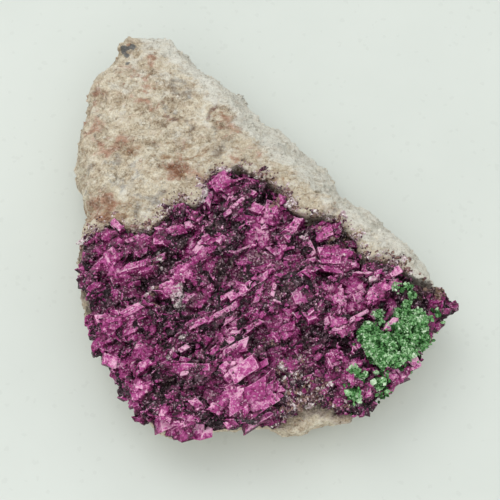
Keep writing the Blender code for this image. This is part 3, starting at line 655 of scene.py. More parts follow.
def calcite_material():
    """Magenta calcite: painted near black in the hollows as shade, pale pink on the edges as painted
    highlights, dusted grey, brown and white.
    """
    material, tree, shader, place = new_material("cobaltoan calcite")
    cloudy = blotches(tree, place, 0.50, 0.32, 0.68)
    fine = blotches(tree, place, 1.9, 0.32, 0.68)
    grit = blotches(tree, place, 4.6, 0.30, 0.70)
    sugar = speckle(tree, place, 3.3)
    flour = speckle(tree, shifted(tree, place, 7.0, (1, 1, 1)), 5.2, light=0.11)
    top, soot, edge = (mark(tree, name) for name in ("top", "soot", "edge"))
    # Painted light in the tone: faces that look up and the blunt edges are painted lighter as highlights,
    # and hollows and the feet of crystals are painted darker as shade.
    tone = total(
        tree, -0.38, (mark(tree, "pink"), 0.66), (cloudy, 0.34), (fine, 0.26), (grit, 0.16), (top, 0.32),
        (edge, 0.24), (sugar["Random"], 0.16), (mark(tree, "painted_shade"), -0.50),
    )
    colour = ramp(
        tree, tone, (0.0, (0.010, 0.001, 0.005)), (0.18, (0.058, 0.003, 0.026)),
        (0.40, (0.18, 0.011, 0.088)), (0.60, (0.35, 0.034, 0.195)), (0.80, (0.52, 0.090, 0.32)),
        (1.0, (0.84, 0.44, 0.63)),
    )
    # A grey veil on faces that look up: settled dust, and a painted sheen.
    dust_and_sheen = maths(tree, "MULTIPLY", top, blotches(tree, place, 1.2, 0.40, 0.66))
    dust_and_sheen = maths(tree, "MULTIPLY", dust_and_sheen, total(tree, 0.36, (mark(tree, "pink"), -0.32)))
    colour = mixed(tree, dust_and_sheen, colour, (0.26, 0.165, 0.205))
    dusty = between(tree, total(
        tree, 0.0, (soot, 0.50), (fine, 0.36), (grit, 0.20), (flour["Random"], 0.20)), 0.52, 0.90)
    dust = ramp(
        tree, sugar["Random"], (0.2, (0.011, 0.004, 0.006)), (0.60, (0.052, 0.030, 0.034)),
        (0.95, (0.26, 0.20, 0.19)),
    )
    colour = mixed(tree, maths(tree, "MULTIPLY", dusty, 0.74), colour, dust)
    brown = between(tree, total(
        tree, 0.0, (mark(tree, "brown"), 0.8), (fine, 0.25), (flour["Random"], 0.16)), 0.46, 0.84)
    umber = ramp(tree, sugar["Random"], (0.1, (0.06, 0.034, 0.022)), (0.9, (0.36, 0.26, 0.18)))
    colour = mixed(tree, maths(tree, "MULTIPLY", brown, 0.85), colour, umber)
    # Pale specks: pale grains all over, with more on faces that look up and on edges as painted glints.
    specks_and_glints = maths(tree, "MULTIPLY", flour["Light"], total(tree, 0.10, (top, 0.30), (edge, 0.34)))
    colour = mixed(tree, specks_and_glints, colour, (0.84, 0.60, 0.72))
    chalk = between(tree, total(
        tree, 0.0, (mark(tree, "chalk"), 0.85), (fine, 0.34), (grit, 0.20)), 0.62, 1.05)
    white = ramp(tree, sugar["Random"], (0.2, (0.42, 0.30, 0.33)), (0.8, (0.88, 0.82, 0.80)))
    colour = mixed(tree, maths(tree, "MULTIPLY", chalk, 0.9), colour, white)
    tree.links.new(colour, shader.inputs["Base Color"])
    relief = total(
        tree, 0.0, (small_faces(tree, place, 1.3), 0.30), (small_faces(tree, place, 3.3), 0.34),
        (fine, 0.04),
    )
    raised(tree, shader, relief, 1.0, between(tree, total(tree, 0.0, (dusty, 0.8), (fine, 0.5)), -0.6, 1.6))
    shader.inputs["Specular IOR Level"].default_value = 0.25
    shader.inputs["Subsurface Weight"].default_value = 0.06
    shader.inputs["Subsurface Radius"].default_value = (1.0, 0.15, 0.5)
    shader.inputs["Subsurface Scale"].default_value = 0.5 * MM
    return material


def malachite_material():
    """Green malachite, painted darker in the hollows as shade and paler on the raised tips as highlights."""
    material, tree, shader, place = new_material("malachite")
    fine = blotches(tree, place, 2.4, 0.32, 0.68)
    velvet = speckle(tree, place, 5.0)
    # Painted light: raised tips are paler as highlight and hollows darker as shade.
    tone = total(tree, -0.22, (mark(tree, "tip_light"), 0.85), (fine, 0.28), (velvet["Random"], 0.24))
    colour = ramp(
        tree, tone, (0.0, (0.008, 0.026, 0.006)), (0.20, (0.030, 0.12, 0.026)), (0.46, (0.12, 0.33, 0.105)),
        (0.72, (0.31, 0.55, 0.27)), (1.0, (0.70, 0.85, 0.64)),
    )
    tree.links.new(colour, shader.inputs["Base Color"])
    relief = total(tree, 0.0, (small_faces(tree, place, 4.0), 0.7), (fine, 0.04))
    raised(tree, shader, relief, 1.0, between(tree, tone, -1.4, 1.2))
    shader.inputs["Specular IOR Level"].default_value = 0.2
    return material


def floor_material():
    """A pale matt tabletop."""
    material, tree, shader, place = new_material("pale tabletop")
    cloud = blotches(tree, place, 0.02, 0.3, 0.7)
    colour = mixed(tree, cloud, (0.61, 0.645, 0.61), (0.64, 0.675, 0.64))
    dots = speckle(tree, place, 1.6, dark=0.02)
    colour = mixed(tree, maths(tree, "MULTIPLY", dots["Dark"], 0.12), colour, (0.42, 0.44, 0.41))
    tree.links.new(colour, shader.inputs["Base Color"])
    shader.inputs["Roughness"].default_value = 0.55
    return material


def make_floor():
    """The tabletop, which is stage and no part of the specimen."""
    bm = bmesh.new()
    bmesh.ops.create_grid(bm, x_segments=1, y_segments=1, size=1.2)
    floor = finished(bm, "tabletop", floor_material())


def finished(bm, name, material):
    """A piece made from a bmesh, with its material."""
    mesh = bpy.data.meshes.new(name)
    bm.to_mesh(mesh)
    bm.free()
    piece = bpy.data.objects.new(name, mesh)
    bpy.context.scene.collection.objects.link(piece)
    if material:
        mesh.materials.append(material)
    return piece


def merged_copy(name):
    """A CAD node's mesh, with its loose triangles joined."""
    bm = bmesh.new()
    bm.from_mesh(frame["nodes"][name].data)
    bmesh.ops.remove_doubles(bm, verts=bm.verts, dist=0.002 * MM)
    return bm


def even_skin(bm, grain):
    """The same form with an even skin of small faces."""
    form = finished(bm, "form", None)
    remesh = form.modifiers.new("even grain", "REMESH")
    remesh.mode, remesh.voxel_size = "VOXEL", grain * MM
    graph = bpy.context.evaluated_depsgraph_get()
    skin = bmesh.new()
    skin.from_mesh(form.evaluated_get(graph).to_mesh())
    bpy.data.objects.remove(form)
    skin.normal_update()
    return skin


def paint(bm, marks):
    """Paints marks on a skin: name to function of the vertex and its place in millimetres."""
    layers = {name: bm.verts.layers.float.new(name) for name in marks}
    for point in bm.verts:
        place = point.co / MM
        for name, layer in layers.items():
            point[layer] = marks[name](point, place)


def wear(bm, relief, level):
    """Moves each point along its normal by relief(place) millimetres. What lies under level stays flat."""
    moves = []
    for point in bm.verts:
        place = point.co / MM
        hold = min(1.0, max(0.0, (place.z - level) / 0.6))
        moves.append(point.normal * (relief(place) * hold * MM))
    for point, move in zip(bm.verts, moves):
        point.co += move
    bm.normal_update()


def facets(place, size, lean, step):
    """Relief of flat faces that lean at random, in millimetres. They run on along the crystals' heading."""
    turned = ALONG @ place
    seed = noise.voronoi(turned / size)[1][0]
    tilt = noise.cell_vector(seed * 3.7) - HALF
    return tilt.dot(turned - seed * size) * lean + noise.cell(seed * 5.1) * step


def rock_relief(place):
    """Lumps, facets, grains and pits of the bare rock, in millimetres."""
    faces = facets(place, 3.4, 0.20, 0.30) + facets(place + Vector((9, 4, 2)), 1.3, 0.26, 0.14)
    grains = 0.10 * noise.noise(place * 1.7) + 0.07 * noise.noise(place * 3.6)
    pits = -0.5 * max(0.0, noise.noise(place * 0.8 + Vector((0, 7, 3))) - 0.30)
    return faces - 0.2 + grains + pits


def crust_relief(place):
    """Broken, blocky relief between the crystals."""
    faces = facets(place, 2.6, 0.55, 0.80) + facets(place + Vector((3, 8, 5)), 1.1, 0.60, 0.32)
    return faces - 0.45 + 0.05 * noise.noise(place * 3.5)


def back_edge_band(point, place):
    """How pale the rock is along its broken back-right side, less pale towards the foot."""
    start, end = (on_level(*spot, BACK_EDGE_HEIGHT) for spot in BACK_EDGE)
    run = (end - start).xy.normalized()
    inward = (place - start).xy.dot(Vector((-run.y, run.x)) * -1)
    band = 1.0 - min(1.0, max(0.0, (inward - 5.5 - 1.6 * noise.noise(place * 0.3)) / 2.2))
    return band * min(1.0, max(0.25, (place.z - 1.5) / 3.0))


def tree_of(bm):
    """For casting rays at a skin, in millimetres."""
    bm.normal_update()
    corners = [point.co / MM for point in bm.verts]
    bm.verts.index_update()
    return BVHTree.FromPolygons(corners, [[v.index for v in face.verts] for face in bm.faces])


def painted_shade(tree, place, normal):
    """Share of the open space over a point that other parts of the skin close off. The crust is painted
    darker by it, as shade.
    """
    start = place + normal * 0.12
    shut = sum(tree.ray_cast(start, way, 2.2)[0] is not None for way in SKY)
    return shut / len(SKY)


def make_rock(marks, material):
    """The rock's skin. Gives back a tree for rays, and the skin's faces as middle, normal and area."""
    skin = even_skin(merged_copy("host_rock"), ROCK_SKIN)
    bmesh.ops.smooth_vert(
        skin, verts=skin.verts, factor=0.5, use_axis_x=True, use_axis_y=True, use_axis_z=True,
    )
    skin.normal_update()
    wear(skin, rock_relief, 0.05)
    paint(skin, marks)
    for face in skin.faces:
        face.smooth = True
    tree, faces = tree_of(skin), faces_of(skin)
    attach(finished(skin, "host_rock_skin", material), "host_rock")
    return tree, faces


def any_turn(chance):
    """Random Euler angles."""
    return [chance.uniform(0, FULL_TURN) for _ in range(3)]


def make_rock_grains(faces, marks, crust_tree, material):
    """Loose chips all over the bare rock."""
    chance = random.Random(31)
    chips = shapes_of(chip_meshes())

    def bare(middle, normal):
        if normal.z < 0.1 or middle.z < 4.0 or chance.random() > 0.55 + 1.2 * noise.noise(middle * 0.35):
            return False
        return crust_tree.ray_cast(middle + normal * 0.05, Vector((0, 0, 1)), 4.0)[0] is None

    seeds = []
    for middle, normal in pick_faces(faces, chance, ROCK_GRAINS, bare):
        grown = ROCK_GRAIN_SIZES[0] + (ROCK_GRAIN_SIZES[1] - ROCK_GRAIN_SIZES[0]) * chance.random() ** 2.5
        values = {name: made(None, middle) for name, made in marks.items()}
        values[chance.choice(("white", "white", "grey", "rust", "rose"))] = chance.uniform(0.1, 0.7)
        seeds.append({
            "place": middle, "shape": chance.randrange(len(chips)), "turn": any_turn(chance),
            "size": [grown * chance.uniform(0.7, 1.4) for _ in range(3)], "values": values,
        })
    attach(scatter("host_rock_grains", chips, seeds, material), "host_rock")


def rock_marks(crust_tree):
    """The painted marks of the rock, each as a function of the vertex and its place."""
    rose, rust, grey, ink, white = (
        spots(marks, ROCK_FACE) for marks in (ROSE_MARKS, RUST_MARKS, GREY_MARKS, INK_MARKS, WHITE_MARKS)
    )
    return {
        "rose": lambda point, place: strength(rose, place),
        "rust": lambda point, place: strength(rust, place),
        "grey": lambda point, place: strength(grey, place),
        "soot": lambda point, place: strength(ink, place, 0.2),
        "white": lambda point, place: strength(white, place),
        "pale_back_edge": back_edge_band,
        "fringe": lambda point, place: fringe(crust_tree, place),
    }


def fringe(crust_tree, place):
    """1 where the rock meets the crust, and 0 a few millimetres away."""
    if place.z < 4.0:
        return 0.0
    away = crust_tree.find_nearest(place, FRINGE_WIDTH)[3]
    return 0.0 if away is None else 1.0 - away / FRINGE_WIDTH


def crust_marks():
    """The painted marks of the crust and of everything that grows on it."""
    soot, pink, chalk, brown, fine = (
        spots(marks, CRUST_FACE) for marks in (SOOT_MARKS, PINK_MARKS, CHALK_MARKS, BROWN_MARKS, FINE_MARKS)
    )
    return {
        "pink": lambda place: 0.62 * strength(pink, place),
        "soot": lambda place: strength(soot, place),
        "chalk": lambda place: strength(chalk, place),
        "brown": lambda place: strength(brown, place),
        "fine": lambda place: strength(fine, place),
    }


def crust_paint(marks, tree):
    """The crust's marks as painted on its skin. Each facet has its own tone."""
    def tone(place):
        seed = noise.voronoi((ALONG @ place) / 2.6)[1][0]
        return noise.cell(seed * 9.3 + Vector((4, 4, 4)))

    return {
        "pink": lambda point, place: 0.08 + 0.50 * tone(place) + marks["pink"](place),
        "soot": lambda point, place: marks["soot"](place),
        # Painted shade: darker where the skin is closed off from the open sky.
        "painted_shade": lambda point, place: painted_shade(tree, place, point.normal),
        "chalk": lambda point, place: marks["chalk"](place),
        "brown": lambda point, place: marks["brown"](place),
    }


def crust_skin():
    """The crust's skin and a tree for casting rays at it."""
    skin = even_skin(merged_copy("cobaltoan_calcite_crust"), CRUST_SKIN)
    wear(skin, crust_relief, 0.0)
    return skin, tree_of(skin)


def make_crust(skin, tree, material, marks):
    """The crust's painted skin. Gives back its faces."""
    paint(skin, crust_paint(marks, tree))
    faces = faces_of(skin)
    attach_crust(finished(skin, "calcite_crust_skin", material))
    return faces


def faces_of(bm):
    """Each face's middle, normal and area, in millimetres."""
    return [
        (face.calc_center_median() / MM, face.normal.copy(), face.calc_area() / MM ** 2) for face in bm.faces
    ]


def attach(piece, name):
    """Joins a piece to the body, in the place of a node."""
    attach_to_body(piece, "root")
    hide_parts(name)


def attach_crust(piece):
    """Marks how far each face looks up, which the calcite turns into painted light on faces that look up,
    and joins the piece to the crust.
    """
    mesh = piece.data
    ups = [max(0.0, polygon.normal.z) for polygon in mesh.polygons]
    mesh.attributes.new("top", "FLOAT", "FACE").data.foreach_set("value", ups)
    attach(piece, "cobaltoan_calcite_crust")


def seen_at(tree, column, row, lift):
    """The point seen at a pixel, this far above the skin that carries it, in millimetres."""
    start, way = lens_ray(column, row)
    hit = tree.ray_cast(start, way)[0]
    level = hit.z if hit else CRUST_FACE
    return on_level(column, row, level + lift)


def crystal_bmesh():
    """An empty lump with the marks that a crystal's faces and points carry."""
    bm = bmesh.new()
    for name in ("pink", "soot", "chalk", "edge"):
        bm.faces.layers.float.new(name)
    # Its points carry painted shade.
    bm.verts.layers.float.new("painted_shade")
    return bm


def add_to(whole, bm):
    """Adds a finished lump to the piece that it is a part of."""
    mesh = mesh_from(bm, "lump")
    whole.from_mesh(mesh)
    bpy.data.meshes.remove(mesh)


def add_rhomb(whole, place, cuts, bevel, rough, values, lean):
    """One crystal: a leaning block with broken faces and blunt edges. values go on its faces by name."""
    bm = crystal_bmesh()
    shear = Matrix(((1, lean[0], lean[1], 0), (0, 1, lean[2], 0), (0, 0, 1, 0), (0, 0, 0, 1)))
    bmesh.ops.create_cube(bm, size=1.0, matrix=shear)
    for point in bm.verts:
        point.co.xy *= 1.0 - FLARE * point.co.z
        point.co = place @ point.co
    if cuts:
        bmesh.ops.subdivide_edges(bm, edges=bm.edges, cuts=cuts, use_grid_fill=True)
    centre = place.translation
    for point in bm.verts:
        out = (point.co - centre).normalized()
        point.co += out * rough * (facets(point.co / MM, BREAK, 0.5, 0.9) - 0.45) * MM
    bm.normal_update()
    inside = place.inverted()
    sharp = [edge for edge in bm.edges if edge.calc_face_angle() > 0.75]
    blunt = bmesh.ops.bevel(
        bm, geom=sharp, offset=bevel * MM, offset_type="OFFSET", segments=1, profile=0.5,
        affect="EDGES", material=-1,
    )["faces"]
    for name, value in values.items():
        layer = bm.faces.layers.float[name]
        for face in bm.faces:
            face[layer] = value
    # Blunt edge faces are marked for a painted highlight, and points are marked for painted shade, darker
    # towards the foot of the block.
    edge, depth = bm.faces.layers.float["edge"], bm.verts.layers.float["painted_shade"]
    for face in blunt:
        face[edge] = 1.0
    for point in bm.verts:
        point[depth] = min(1.0, max(0.0, 0.45 - (inside @ point.co).z))
    add_to(whole, bm)


def block_frame(start, end, width, depth, roll):
    """The matrix of a unit cube whose top face runs from start to end, in metres."""
    along = (end - start).normalized()
    across = Vector((0, 0, 1)).cross(along).normalized()
    turn = Matrix.Rotation(math.radians(roll), 3, along)
    across, up = turn @ across, turn @ along.cross(across)
    axes = Matrix((along * (end - start).length, across * width, up * depth)).transposed().to_4x4()
    middle = (start + end) / 2 - up * (depth / 2)
    return Matrix.Translation(middle * MM) @ Matrix.Diagonal((MM, MM, MM, 1)) @ axes


def make_key_crystals(material, tree):
    """The crystals that show best, each a block with a few growth steps. Gives back their faces."""
    bm = crystal_bmesh()
    chance = random.Random(5)
    for c0, r0, up0, c1, r1, up1, width, depth, roll, pink, soot, chalk in KEY_CRYSTALS:
        start, end = seen_at(tree, c0, r0, up0 * KEY_LIFT), seen_at(tree, c1, r1, up1 * KEY_LIFT)
        if abs(start.z - end.z) > 1.4:
            start, end = (on_level(c, r, (start.z + end.z) / 2) for c, r in ((c0, r0), (c1, r1)))
        main = block_frame(start, end, width, depth, roll)
        lean = [chance.uniform(-0.35, 0.35) for _ in range(3)]
        values = {"pink": pink, "soot": soot, "chalk": chalk}
        add_rhomb(bm, main, 4, KEY_BEVEL, KEY_ROUGH, values, lean)
        for _ in range(2 if width < 1.0 else 4):
            long, wide = chance.uniform(0.15, 0.6), chance.uniform(0.2, 0.65)
            along, across = chance.uniform(-0.5, 0.5), chance.choice((-1, 1)) * chance.uniform(0.1, 0.5)
            turn = Euler([chance.uniform(-0.22, 0.22) for _ in range(3)]).to_matrix().to_4x4()
            shift = Matrix.Translation(Vector((along, across, chance.uniform(-0.30, 0.03))))
            values = {
                "pink": pink + chance.uniform(-0.30, 0.08), "soot": soot * chance.uniform(0.5, 1.3),
                "chalk": chalk * chance.random(),
            }
            step = main @ shift @ turn @ Matrix.Diagonal((long, wide, 0.9, 1))
            add_rhomb(bm, step, 2, KEY_BEVEL * 0.7, STEP_ROUGH, values, lean)
    for column, row, lift, *feet, pink in PEAKS:
        add_peak(bm, tree, seen_at(tree, column, row, lift), feet, pink)
    bm.normal_update()
    faces = faces_of(bm)
    attach_crust(finished(bm, "calcite_key_crystals", material))
    return faces


def add_peak(whole, tree, apex, feet, pink):
    """A three-sided peak from its apex and where its feet are seen."""
    bm = crystal_bmesh()
    cone = bmesh.ops.create_cone(bm, cap_ends=True, segments=3, radius1=MM, radius2=0.0, depth=MM)["verts"]
    top = max(cone, key=lambda point: point.co.z)
    base = sorted((p for p in cone if p is not top), key=lambda p: math.atan2(p.co.y, p.co.x))
    seen = sorted((seen_at(tree, *foot, -0.4) for foot in feet), key=lambda s: math.atan2(
        s.y - apex.y, s.x - apex.x))
    for point, spot in zip(base, seen):
        point.co = spot * MM
    top.co = apex * MM
    bmesh.ops.subdivide_edges(bm, edges=bm.edges, cuts=4, use_grid_fill=True)
    for point in bm.verts:
        point.co.z += 0.18 * noise.noise(point.co / MM * 0.9) * MM
    layer = bm.faces.layers.float["pink"]
    for face in bm.faces:
        face[layer] = pink
    add_to(whole, bm)


def told(tree, name, kind):
    """A value that each point carries, in a geometry node tree."""
    made = tree.nodes.new("GeometryNodeInputNamedAttribute")
    made.data_type = kind
    made.inputs["Name"].default_value = name
    return made.outputs["Attribute"]


def scatter_tree(shapes):
    """Geometry nodes that put one of the shapes on each point, sized and turned as the point says."""
    tree = bpy.data.node_groups.new("scatter", "GeometryNodeTree")
    for way in ("INPUT", "OUTPUT"):
        tree.interface.new_socket("Geometry", in_out=way, socket_type="NodeSocketGeometry")
    given, out = tree.nodes.new("NodeGroupInput"), tree.nodes.new("NodeGroupOutput")
    pool = tree.nodes.new("GeometryNodeCollectionInfo")
    pool.inputs["Collection"].default_value = shapes
    pool.inputs["Separate Children"].default_value = True
    pool.inputs["Reset Children"].default_value = True
    spread = tree.nodes.new("GeometryNodeInstanceOnPoints")
    spread.inputs["Pick Instance"].default_value = True
    real = tree.nodes.new("GeometryNodeRealizeInstances")
    for source, target in (
        (given.outputs[0], spread.inputs["Points"]), (pool.outputs[0], spread.inputs["Instance"]),
        (told(tree, "shape", "INT"), spread.inputs["Instance Index"]),
        (told(tree, "turn", "FLOAT_VECTOR"), spread.inputs["Rotation"]),
        (told(tree, "size", "FLOAT_VECTOR"), spread.inputs["Scale"]),
        (spread.outputs[0], real.inputs[0]), (real.outputs[0], out.inputs[0]),
    ):
        tree.links.new(source, target)
    return tree


def scatter(name, shapes, seeds, material):
    """One mesh with a shape at every seed, which holds its place, shape, turn, size and painted values."""
    bm = bmesh.new()
    shape = bm.verts.layers.int.new("shape")
    turn, size = (bm.verts.layers.float_vector.new(key) for key in ("turn", "size"))
    values = {key: bm.verts.layers.float.new(key) for key in seeds[0]["values"]}
    for seed in seeds:
        point = bm.verts.new(seed["place"] * MM)
        point[shape], point[turn], point[size] = seed["shape"], seed["turn"], seed["size"]
        for key, layer in values.items():
            point[layer] = seed["values"][key]
    carrier = finished(bm, name, None)
    pool = bpy.data.collections.new("shapes")
    for each in shapes:
        pool.objects.link(each)
    modifier = carrier.modifiers.new("scatter", "NODES")
    modifier.node_group = scatter_tree(pool)
    graph = bpy.context.evaluated_depsgraph_get()
    mesh = bpy.data.meshes.new_from_object(carrier.evaluated_get(graph))
    for key in ("shape", "turn", "size"):
        if key in mesh.attributes:
            mesh.attributes.remove(mesh.attributes[key])
    carrier.modifiers.clear()
    carrier.data = mesh
    mesh.materials.clear()
    mesh.materials.append(material)
    bpy.data.collections.remove(pool)
    return carrier


def shapes_of(meshes):
    """Loose objects of one millimetre, to be scattered."""
    return [bpy.data.objects.new(f"shape_{index}", mesh) for index, mesh in enumerate(meshes)]


def mesh_from(bm, name):
    """A mesh made from a bmesh, which is used up."""
    mesh = bpy.data.meshes.new(name)
    bm.to_mesh(mesh)
    bm.free()
    return mesh


def small_crystal_meshes():
    """Unit crystals: broken blocks, blades and wedges, with and without a growth step."""
    chance = random.Random(8)
    for index in range(CRYSTAL_KINDS):
        bm = crystal_bmesh()
        long, flat = chance.uniform(0.8, 1.7), chance.uniform(0.45, 1.0)
        for step in range(1 + index % 2):
            shrink = 1.0 - 0.35 * step
            grow = Matrix.Diagonal((long * shrink * MM, 0.8 * shrink * MM, flat * MM, 1))
            turn = Euler([chance.uniform(-0.4, 0.4) for _ in range(3)]).to_matrix().to_4x4()
            away = Vector((0.2 * step, 0.25 * step, 0.12 * step)) * MM
            shift = Matrix.Translation(away + Vector((index, 0, 0)) * MM)
            lean = [chance.uniform(-0.55, 0.55) for _ in range(3)]
            add_rhomb(bm, shift @ turn @ grow, 0, SMALL_BEVEL, SMALL_ROUGH, {}, lean)
        for name in ("pink", "soot", "chalk"):
            bm.faces.layers.float.remove(bm.faces.layers.float[name])
        bmesh.ops.translate(bm, verts=bm.verts, vec=Vector((-index, 0, 0)) * MM)
        yield mesh_from(bm, f"crystal_{index}")


def grain_meshes(count, spread, seed):
    """Rough unit grains of twenty faces."""
    for index in range(count):
        bm = bmesh.new()
        ball = bmesh.ops.create_icosphere(bm, subdivisions=1, radius=MM)["verts"]
        for point in ball:
            point.co *= 1.0 + spread * noise.noise(point.co / MM * 1.3 + Vector((index * 7.0, seed, 0)))
        yield mesh_from(bm, f"grain_{index}")


def chip_meshes():
    """Unit chips with six faces."""
    for index in range(4):
        bm = bmesh.new()
        tall = (0.6 + 0.2 * index) * MM
        lean = Matrix(((MM, 0.3 * MM, 0, 0), (0, MM, 0.25 * MM, 0), (0, 0, tall, 0), (0, 0, 0, 1)))
        bmesh.ops.create_cube(bm, size=1.5, matrix=lean)
        yield mesh_from(bm, f"chip_{index}")


def pick_faces(faces, chance, count, allowed):
    """Random points of the skin, more where it is wide, that are allowed to carry something."""
    ends, picked = [], []
    reach = 0.0
    for face in faces:
        reach += face[2]
        ends.append(reach)
    while len(picked) < count:
        middle, normal, _ = faces[bisect.bisect_left(ends, chance.uniform(0.0, reach))]
        if allowed(middle, normal):
            picked.append((middle, normal))
    return picked


def upright(normal, heading, chance, tilt):
    """Euler angles of something that stands on a face of the skin and runs at a heading."""
    sway = Vector([chance.uniform(-tilt, tilt) for _ in range(3)])
    up = (normal + Vector((0, 0, 0.8)) + sway).normalized()
    along = Vector((math.cos(heading), math.sin(heading), 0))
    side = up.cross(along).normalized()
    return Matrix((side.cross(up), side, up)).transposed().to_euler()


def open_to_sky(middle, normal, rock_tree):
    """Whether a point of the crust isn't deep in the gap between it and the rock, or on its underside."""
    if normal.z < -0.25 or middle.z < CRUST_LOW:
        return False
    if normal.z > 0.5 or middle.z > CRUST_OPEN:
        return True
    return rock_tree.ray_cast(middle + normal * 0.05, normal, 1.2)[0] is None


def crystal_values(marks, place, chance, spread):
    """The marks that a crystal at a place carries."""
    found = {key: marks[key](place) for key in ("pink", "soot", "chalk", "brown")}
    found["pink"] += chance.uniform(LEAST_PINK, LEAST_PINK + spread)
    return found


def sown(places, marks, chance, sizes, power, sink, tilt, spread, kinds):
    """Seeds on chosen points of a skin: most near the lower size, all running roughly along one heading."""
    seeds = []
    for middle, normal in places:
        level = min(1.0, max(0.1, normal.z * 1.4))
        grown = sizes[0] + (sizes[1] - sizes[0]) * chance.random() ** power * level
        grown *= 1.0 - 0.75 * marks["fine"](middle)
        heading = math.radians(chance.gauss(HEADING, HEADING_SPREAD))
        seeds.append({
            "place": middle - normal * grown * sink, "shape": chance.randrange(kinds),
            "turn": upright(normal, heading, chance, tilt),
            "size": [grown * chance.uniform(0.8, 1.2) for _ in range(3)],
            "values": crystal_values(marks, middle, chance, spread),
        })
    return seeds


def dusted(seeds, chance):
    """Makes a share of the seeds sooty and a few of them pale."""
    for seed in seeds:
        kind, values = chance.random(), seed["values"]
        if kind < 0.20 + 0.50 * values["soot"]:
            values.update(pink=0.0, soot=1.0)
        elif kind < 0.27 + 0.50 * values["soot"]:
            values.update(pink=0.9, chalk=chance.uniform(0.3, 0.9))
    return seeds


def gritty(seeds, chance, start, share):
    """Makes most seeds sooty, chalky or brown. start and share say how far their kinds range."""
    for seed in seeds:
        kind, values = start + share * chance.random(), seed["values"]
        if kind < 0.35:
            values.update(soot=1.3, pink=0.0, brown=0.0)
        elif kind < 0.56:
            values.update(chalk=chance.uniform(0.9, 1.4), pink=0.5, soot=0.0, brown=0.0)
        elif kind < 0.84:
            values.update(brown=chance.uniform(0.9, 1.4), pink=0.3, soot=0.0)


def make_scattered_crust(material, marks, carriers, crust_tree, rock_faces, rock_tree):
    """Small crystals, tiny ones, gravel and dust on the crust, and on the rock where the crust meets it."""
    chance = random.Random(17)
    crust_faces, key_faces = carriers
    open_faces = crust_faces + key_faces
    gravel_spots, clear_spots = spots(GRAVEL_MARKS, CRUST_FACE), spots(CLEAR_MARKS, CRUST_FACE)

    def on_crust(middle, normal):
        if chance.random() < max(0.80 * in_malachite(middle), 0.96 * strength(clear_spots, middle, 0.4)):
            return False
        return open_to_sky(middle, normal, rock_tree)

    def on_top(middle, normal):
        if crust_tree.ray_cast(middle + normal * 0.05, Vector((0, 0, 1)), 2.0)[0]:
            return False
        return on_crust(middle, normal)

    def on_gravel(middle, normal):
        return chance.random() < 1.3 * strength(gravel_spots, middle) and on_crust(middle, normal)

    def on_fringe(middle, normal):
        near = fringe(crust_tree, middle) ** 3 * (0.8 + 1.1 * noise.noise(middle * 0.55))
        if normal.z < -0.1 or middle.z < RIM_LOW or chance.random() > near * 1.8:
            return False
        return crust_tree.ray_cast(middle + normal * 0.05, Vector((0, 0, 1)), 5.0)[0] is None

    def sow(faces, count, allowed, sizes, shapes, **habit):
        places = pick_faces(faces, chance, count, allowed)
        return sown(places, marks, chance, sizes, kinds=len(shapes), **habit)

    blocks, chips = shapes_of(small_crystal_meshes()), shapes_of(chip_meshes())
    small = sow(
        crust_faces, SMALL_CRYSTALS, on_crust, SMALL_SIZES, blocks,
        power=2.0, sink=0.42, tilt=0.8, spread=0.55,
    )
    tiny = sow(
        open_faces, TINY_CRYSTALS, on_top, TINY_SIZES, blocks, power=1.6, sink=0.3, tilt=1.0, spread=0.8,
    )
    dust = dusted(sow(
        open_faces, DUST_GRAINS, on_top, DUST_SIZES, chips, power=1.6, sink=0.1, tilt=1.0, spread=0.7,
    ), chance)
    gravel = sow(
        open_faces, GRAVEL, on_gravel, GRAVEL_SIZES, chips, power=1.3, sink=0.0, tilt=1.0, spread=0.5,
    )
    edge = sow(
        rock_faces, RIM_CRYSTALS, on_fringe, RIM_SIZES, blocks, power=1.8, sink=0.35, tilt=0.9, spread=0.5,
    )
    grit = sow(
        rock_faces, RIM_GRAINS, on_fringe, DUST_SIZES, chips, power=1.0, sink=0.1, tilt=1.0, spread=0.5,
    )
    gritty(gravel, chance, 0.0, 1.0)
    gritty(edge + grit, chance, 0.20, 0.61)
    attach_crust(scatter("calcite_small_crystals", blocks, small + edge, material))
    attach_crust(scatter("calcite_tiny_crystals", blocks, tiny, material))
    attach_crust(scatter("calcite_dust", chips, dust + grit + gravel, material))


def in_malachite(place):
    """1 inside the malachite's own area, else 0."""
    for x, y, radius in MALACHITE_LUMPS:
        if math.hypot(place.x - DRAWN_MIDDLE.x - x, place.y - DRAWN_MIDDLE.y - y) < radius * 0.95:
            return 1.0
    return 0.0


def frill(place):
    """Height of the malachite's own relief, about -1 to 1."""
    return 0.6 * noise.noise(place * 0.75) + 0.5 * noise.noise(place * 1.7) + 0.25 * noise.noise(place * 3.8)


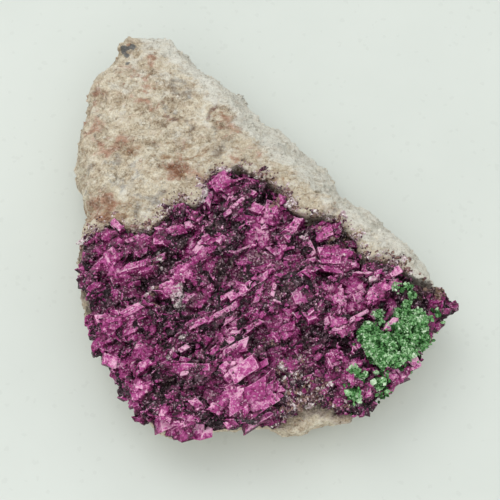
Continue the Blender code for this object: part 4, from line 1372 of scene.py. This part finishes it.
def make_malachite(material, carriers):
    """Each malachite node as a rough, broken skin covered in small chips, some of them on the crust."""
    chance = random.Random(23)
    grains = shapes_of([*grain_meshes(3, 0.9, 3.0), *chip_meshes()])
    for name in filter(lambda name: name.startswith("malachite"), frame["nodes"]):
        skin = even_skin(merged_copy(name), MALACHITE_SKIN)
        wear(skin, malachite_relief, 0.0)
        # Painted light on the skin: paler on raised tips as highlight, darker in the gaps as shade.
        paint(skin, {"tip_light": lambda point, place: 0.22 + 0.9 * frill(place)})
        faces = faces_of(skin)
        own = round(sum(face[2] for face in faces) * CHIPS_PER_SQUARE)
        places = pick_faces(faces, chance, own, lambda middle, normal: normal.z > -0.3)
        if name == "malachite_patch":
            places += pick_faces(
                carriers, chance, STRAY_GRAINS, lambda middle, normal: stray(middle, chance),
            )
        seeds = []
        for index, (middle, normal) in enumerate(places):
            grown = chance.uniform(0.06, 0.10) + 0.14 * chance.random() ** 3
            away = grown * chance.uniform(-0.3, 2.4) * (0.6 + frill(middle))
            if index >= own:
                grown *= 1.7
                away += chance.uniform(0.2, 0.9)
            # Grains on raised tips are painted paler as highlight, grains in the gaps darker as shade.
            seeds.append({
                "place": middle + normal * away, "shape": chance.randrange(len(grains)),
                "turn": any_turn(chance),
                "size": [grown * chance.uniform(0.6, 1.6) for _ in range(3)],
                "values": {"tip_light": 0.44 + 1.1 * frill(middle) + chance.uniform(-0.38, 0.38)},
            })
        attach(finished(skin, f"{name}_skin", material), name)
        attach(scatter(f"{name}_grains", grains, seeds, material), name)


def malachite_relief(place):
    """Frills, and holes where the crust below shows."""
    height = frill(place)
    return 1.15 * height - 0.20 - 2.2 * max(0.0, -0.28 - height)


def stray(place, chance):
    """Whether a malachite grain lies here on the crust, just outside the lumps."""
    for x, y, radius in MALACHITE_LUMPS:
        away = math.hypot(place.x - DRAWN_MIDDLE.x - x, place.y - DRAWN_MIDDLE.y - y) / radius
        if away < 1.35 and chance.random() < (1.5 - away) * (0.5 + 1.6 * noise.noise(place * 0.9)):
            return True
    return False


make_camera()
make_studio()
make_floor()
CALCITE = calcite_material()
CRUST_MARKS = crust_marks()
CRUST, CRUST_TREE = crust_skin()
ROCK, ROCK_MARKS = rock_material(), rock_marks(CRUST_TREE)
ROCK_TREE, ROCK_FACES = make_rock(ROCK_MARKS, ROCK)
make_rock_grains(ROCK_FACES, ROCK_MARKS, CRUST_TREE, ROCK)
CRUST_FACES = make_crust(CRUST, CRUST_TREE, CALCITE, CRUST_MARKS)
KEY_FACES = make_key_crystals(CALCITE, CRUST_TREE)
make_scattered_crust(CALCITE, CRUST_MARKS, (CRUST_FACES, KEY_FACES), CRUST_TREE, ROCK_FACES, ROCK_TREE)
make_malachite(malachite_material(), CRUST_FACES + KEY_FACES)
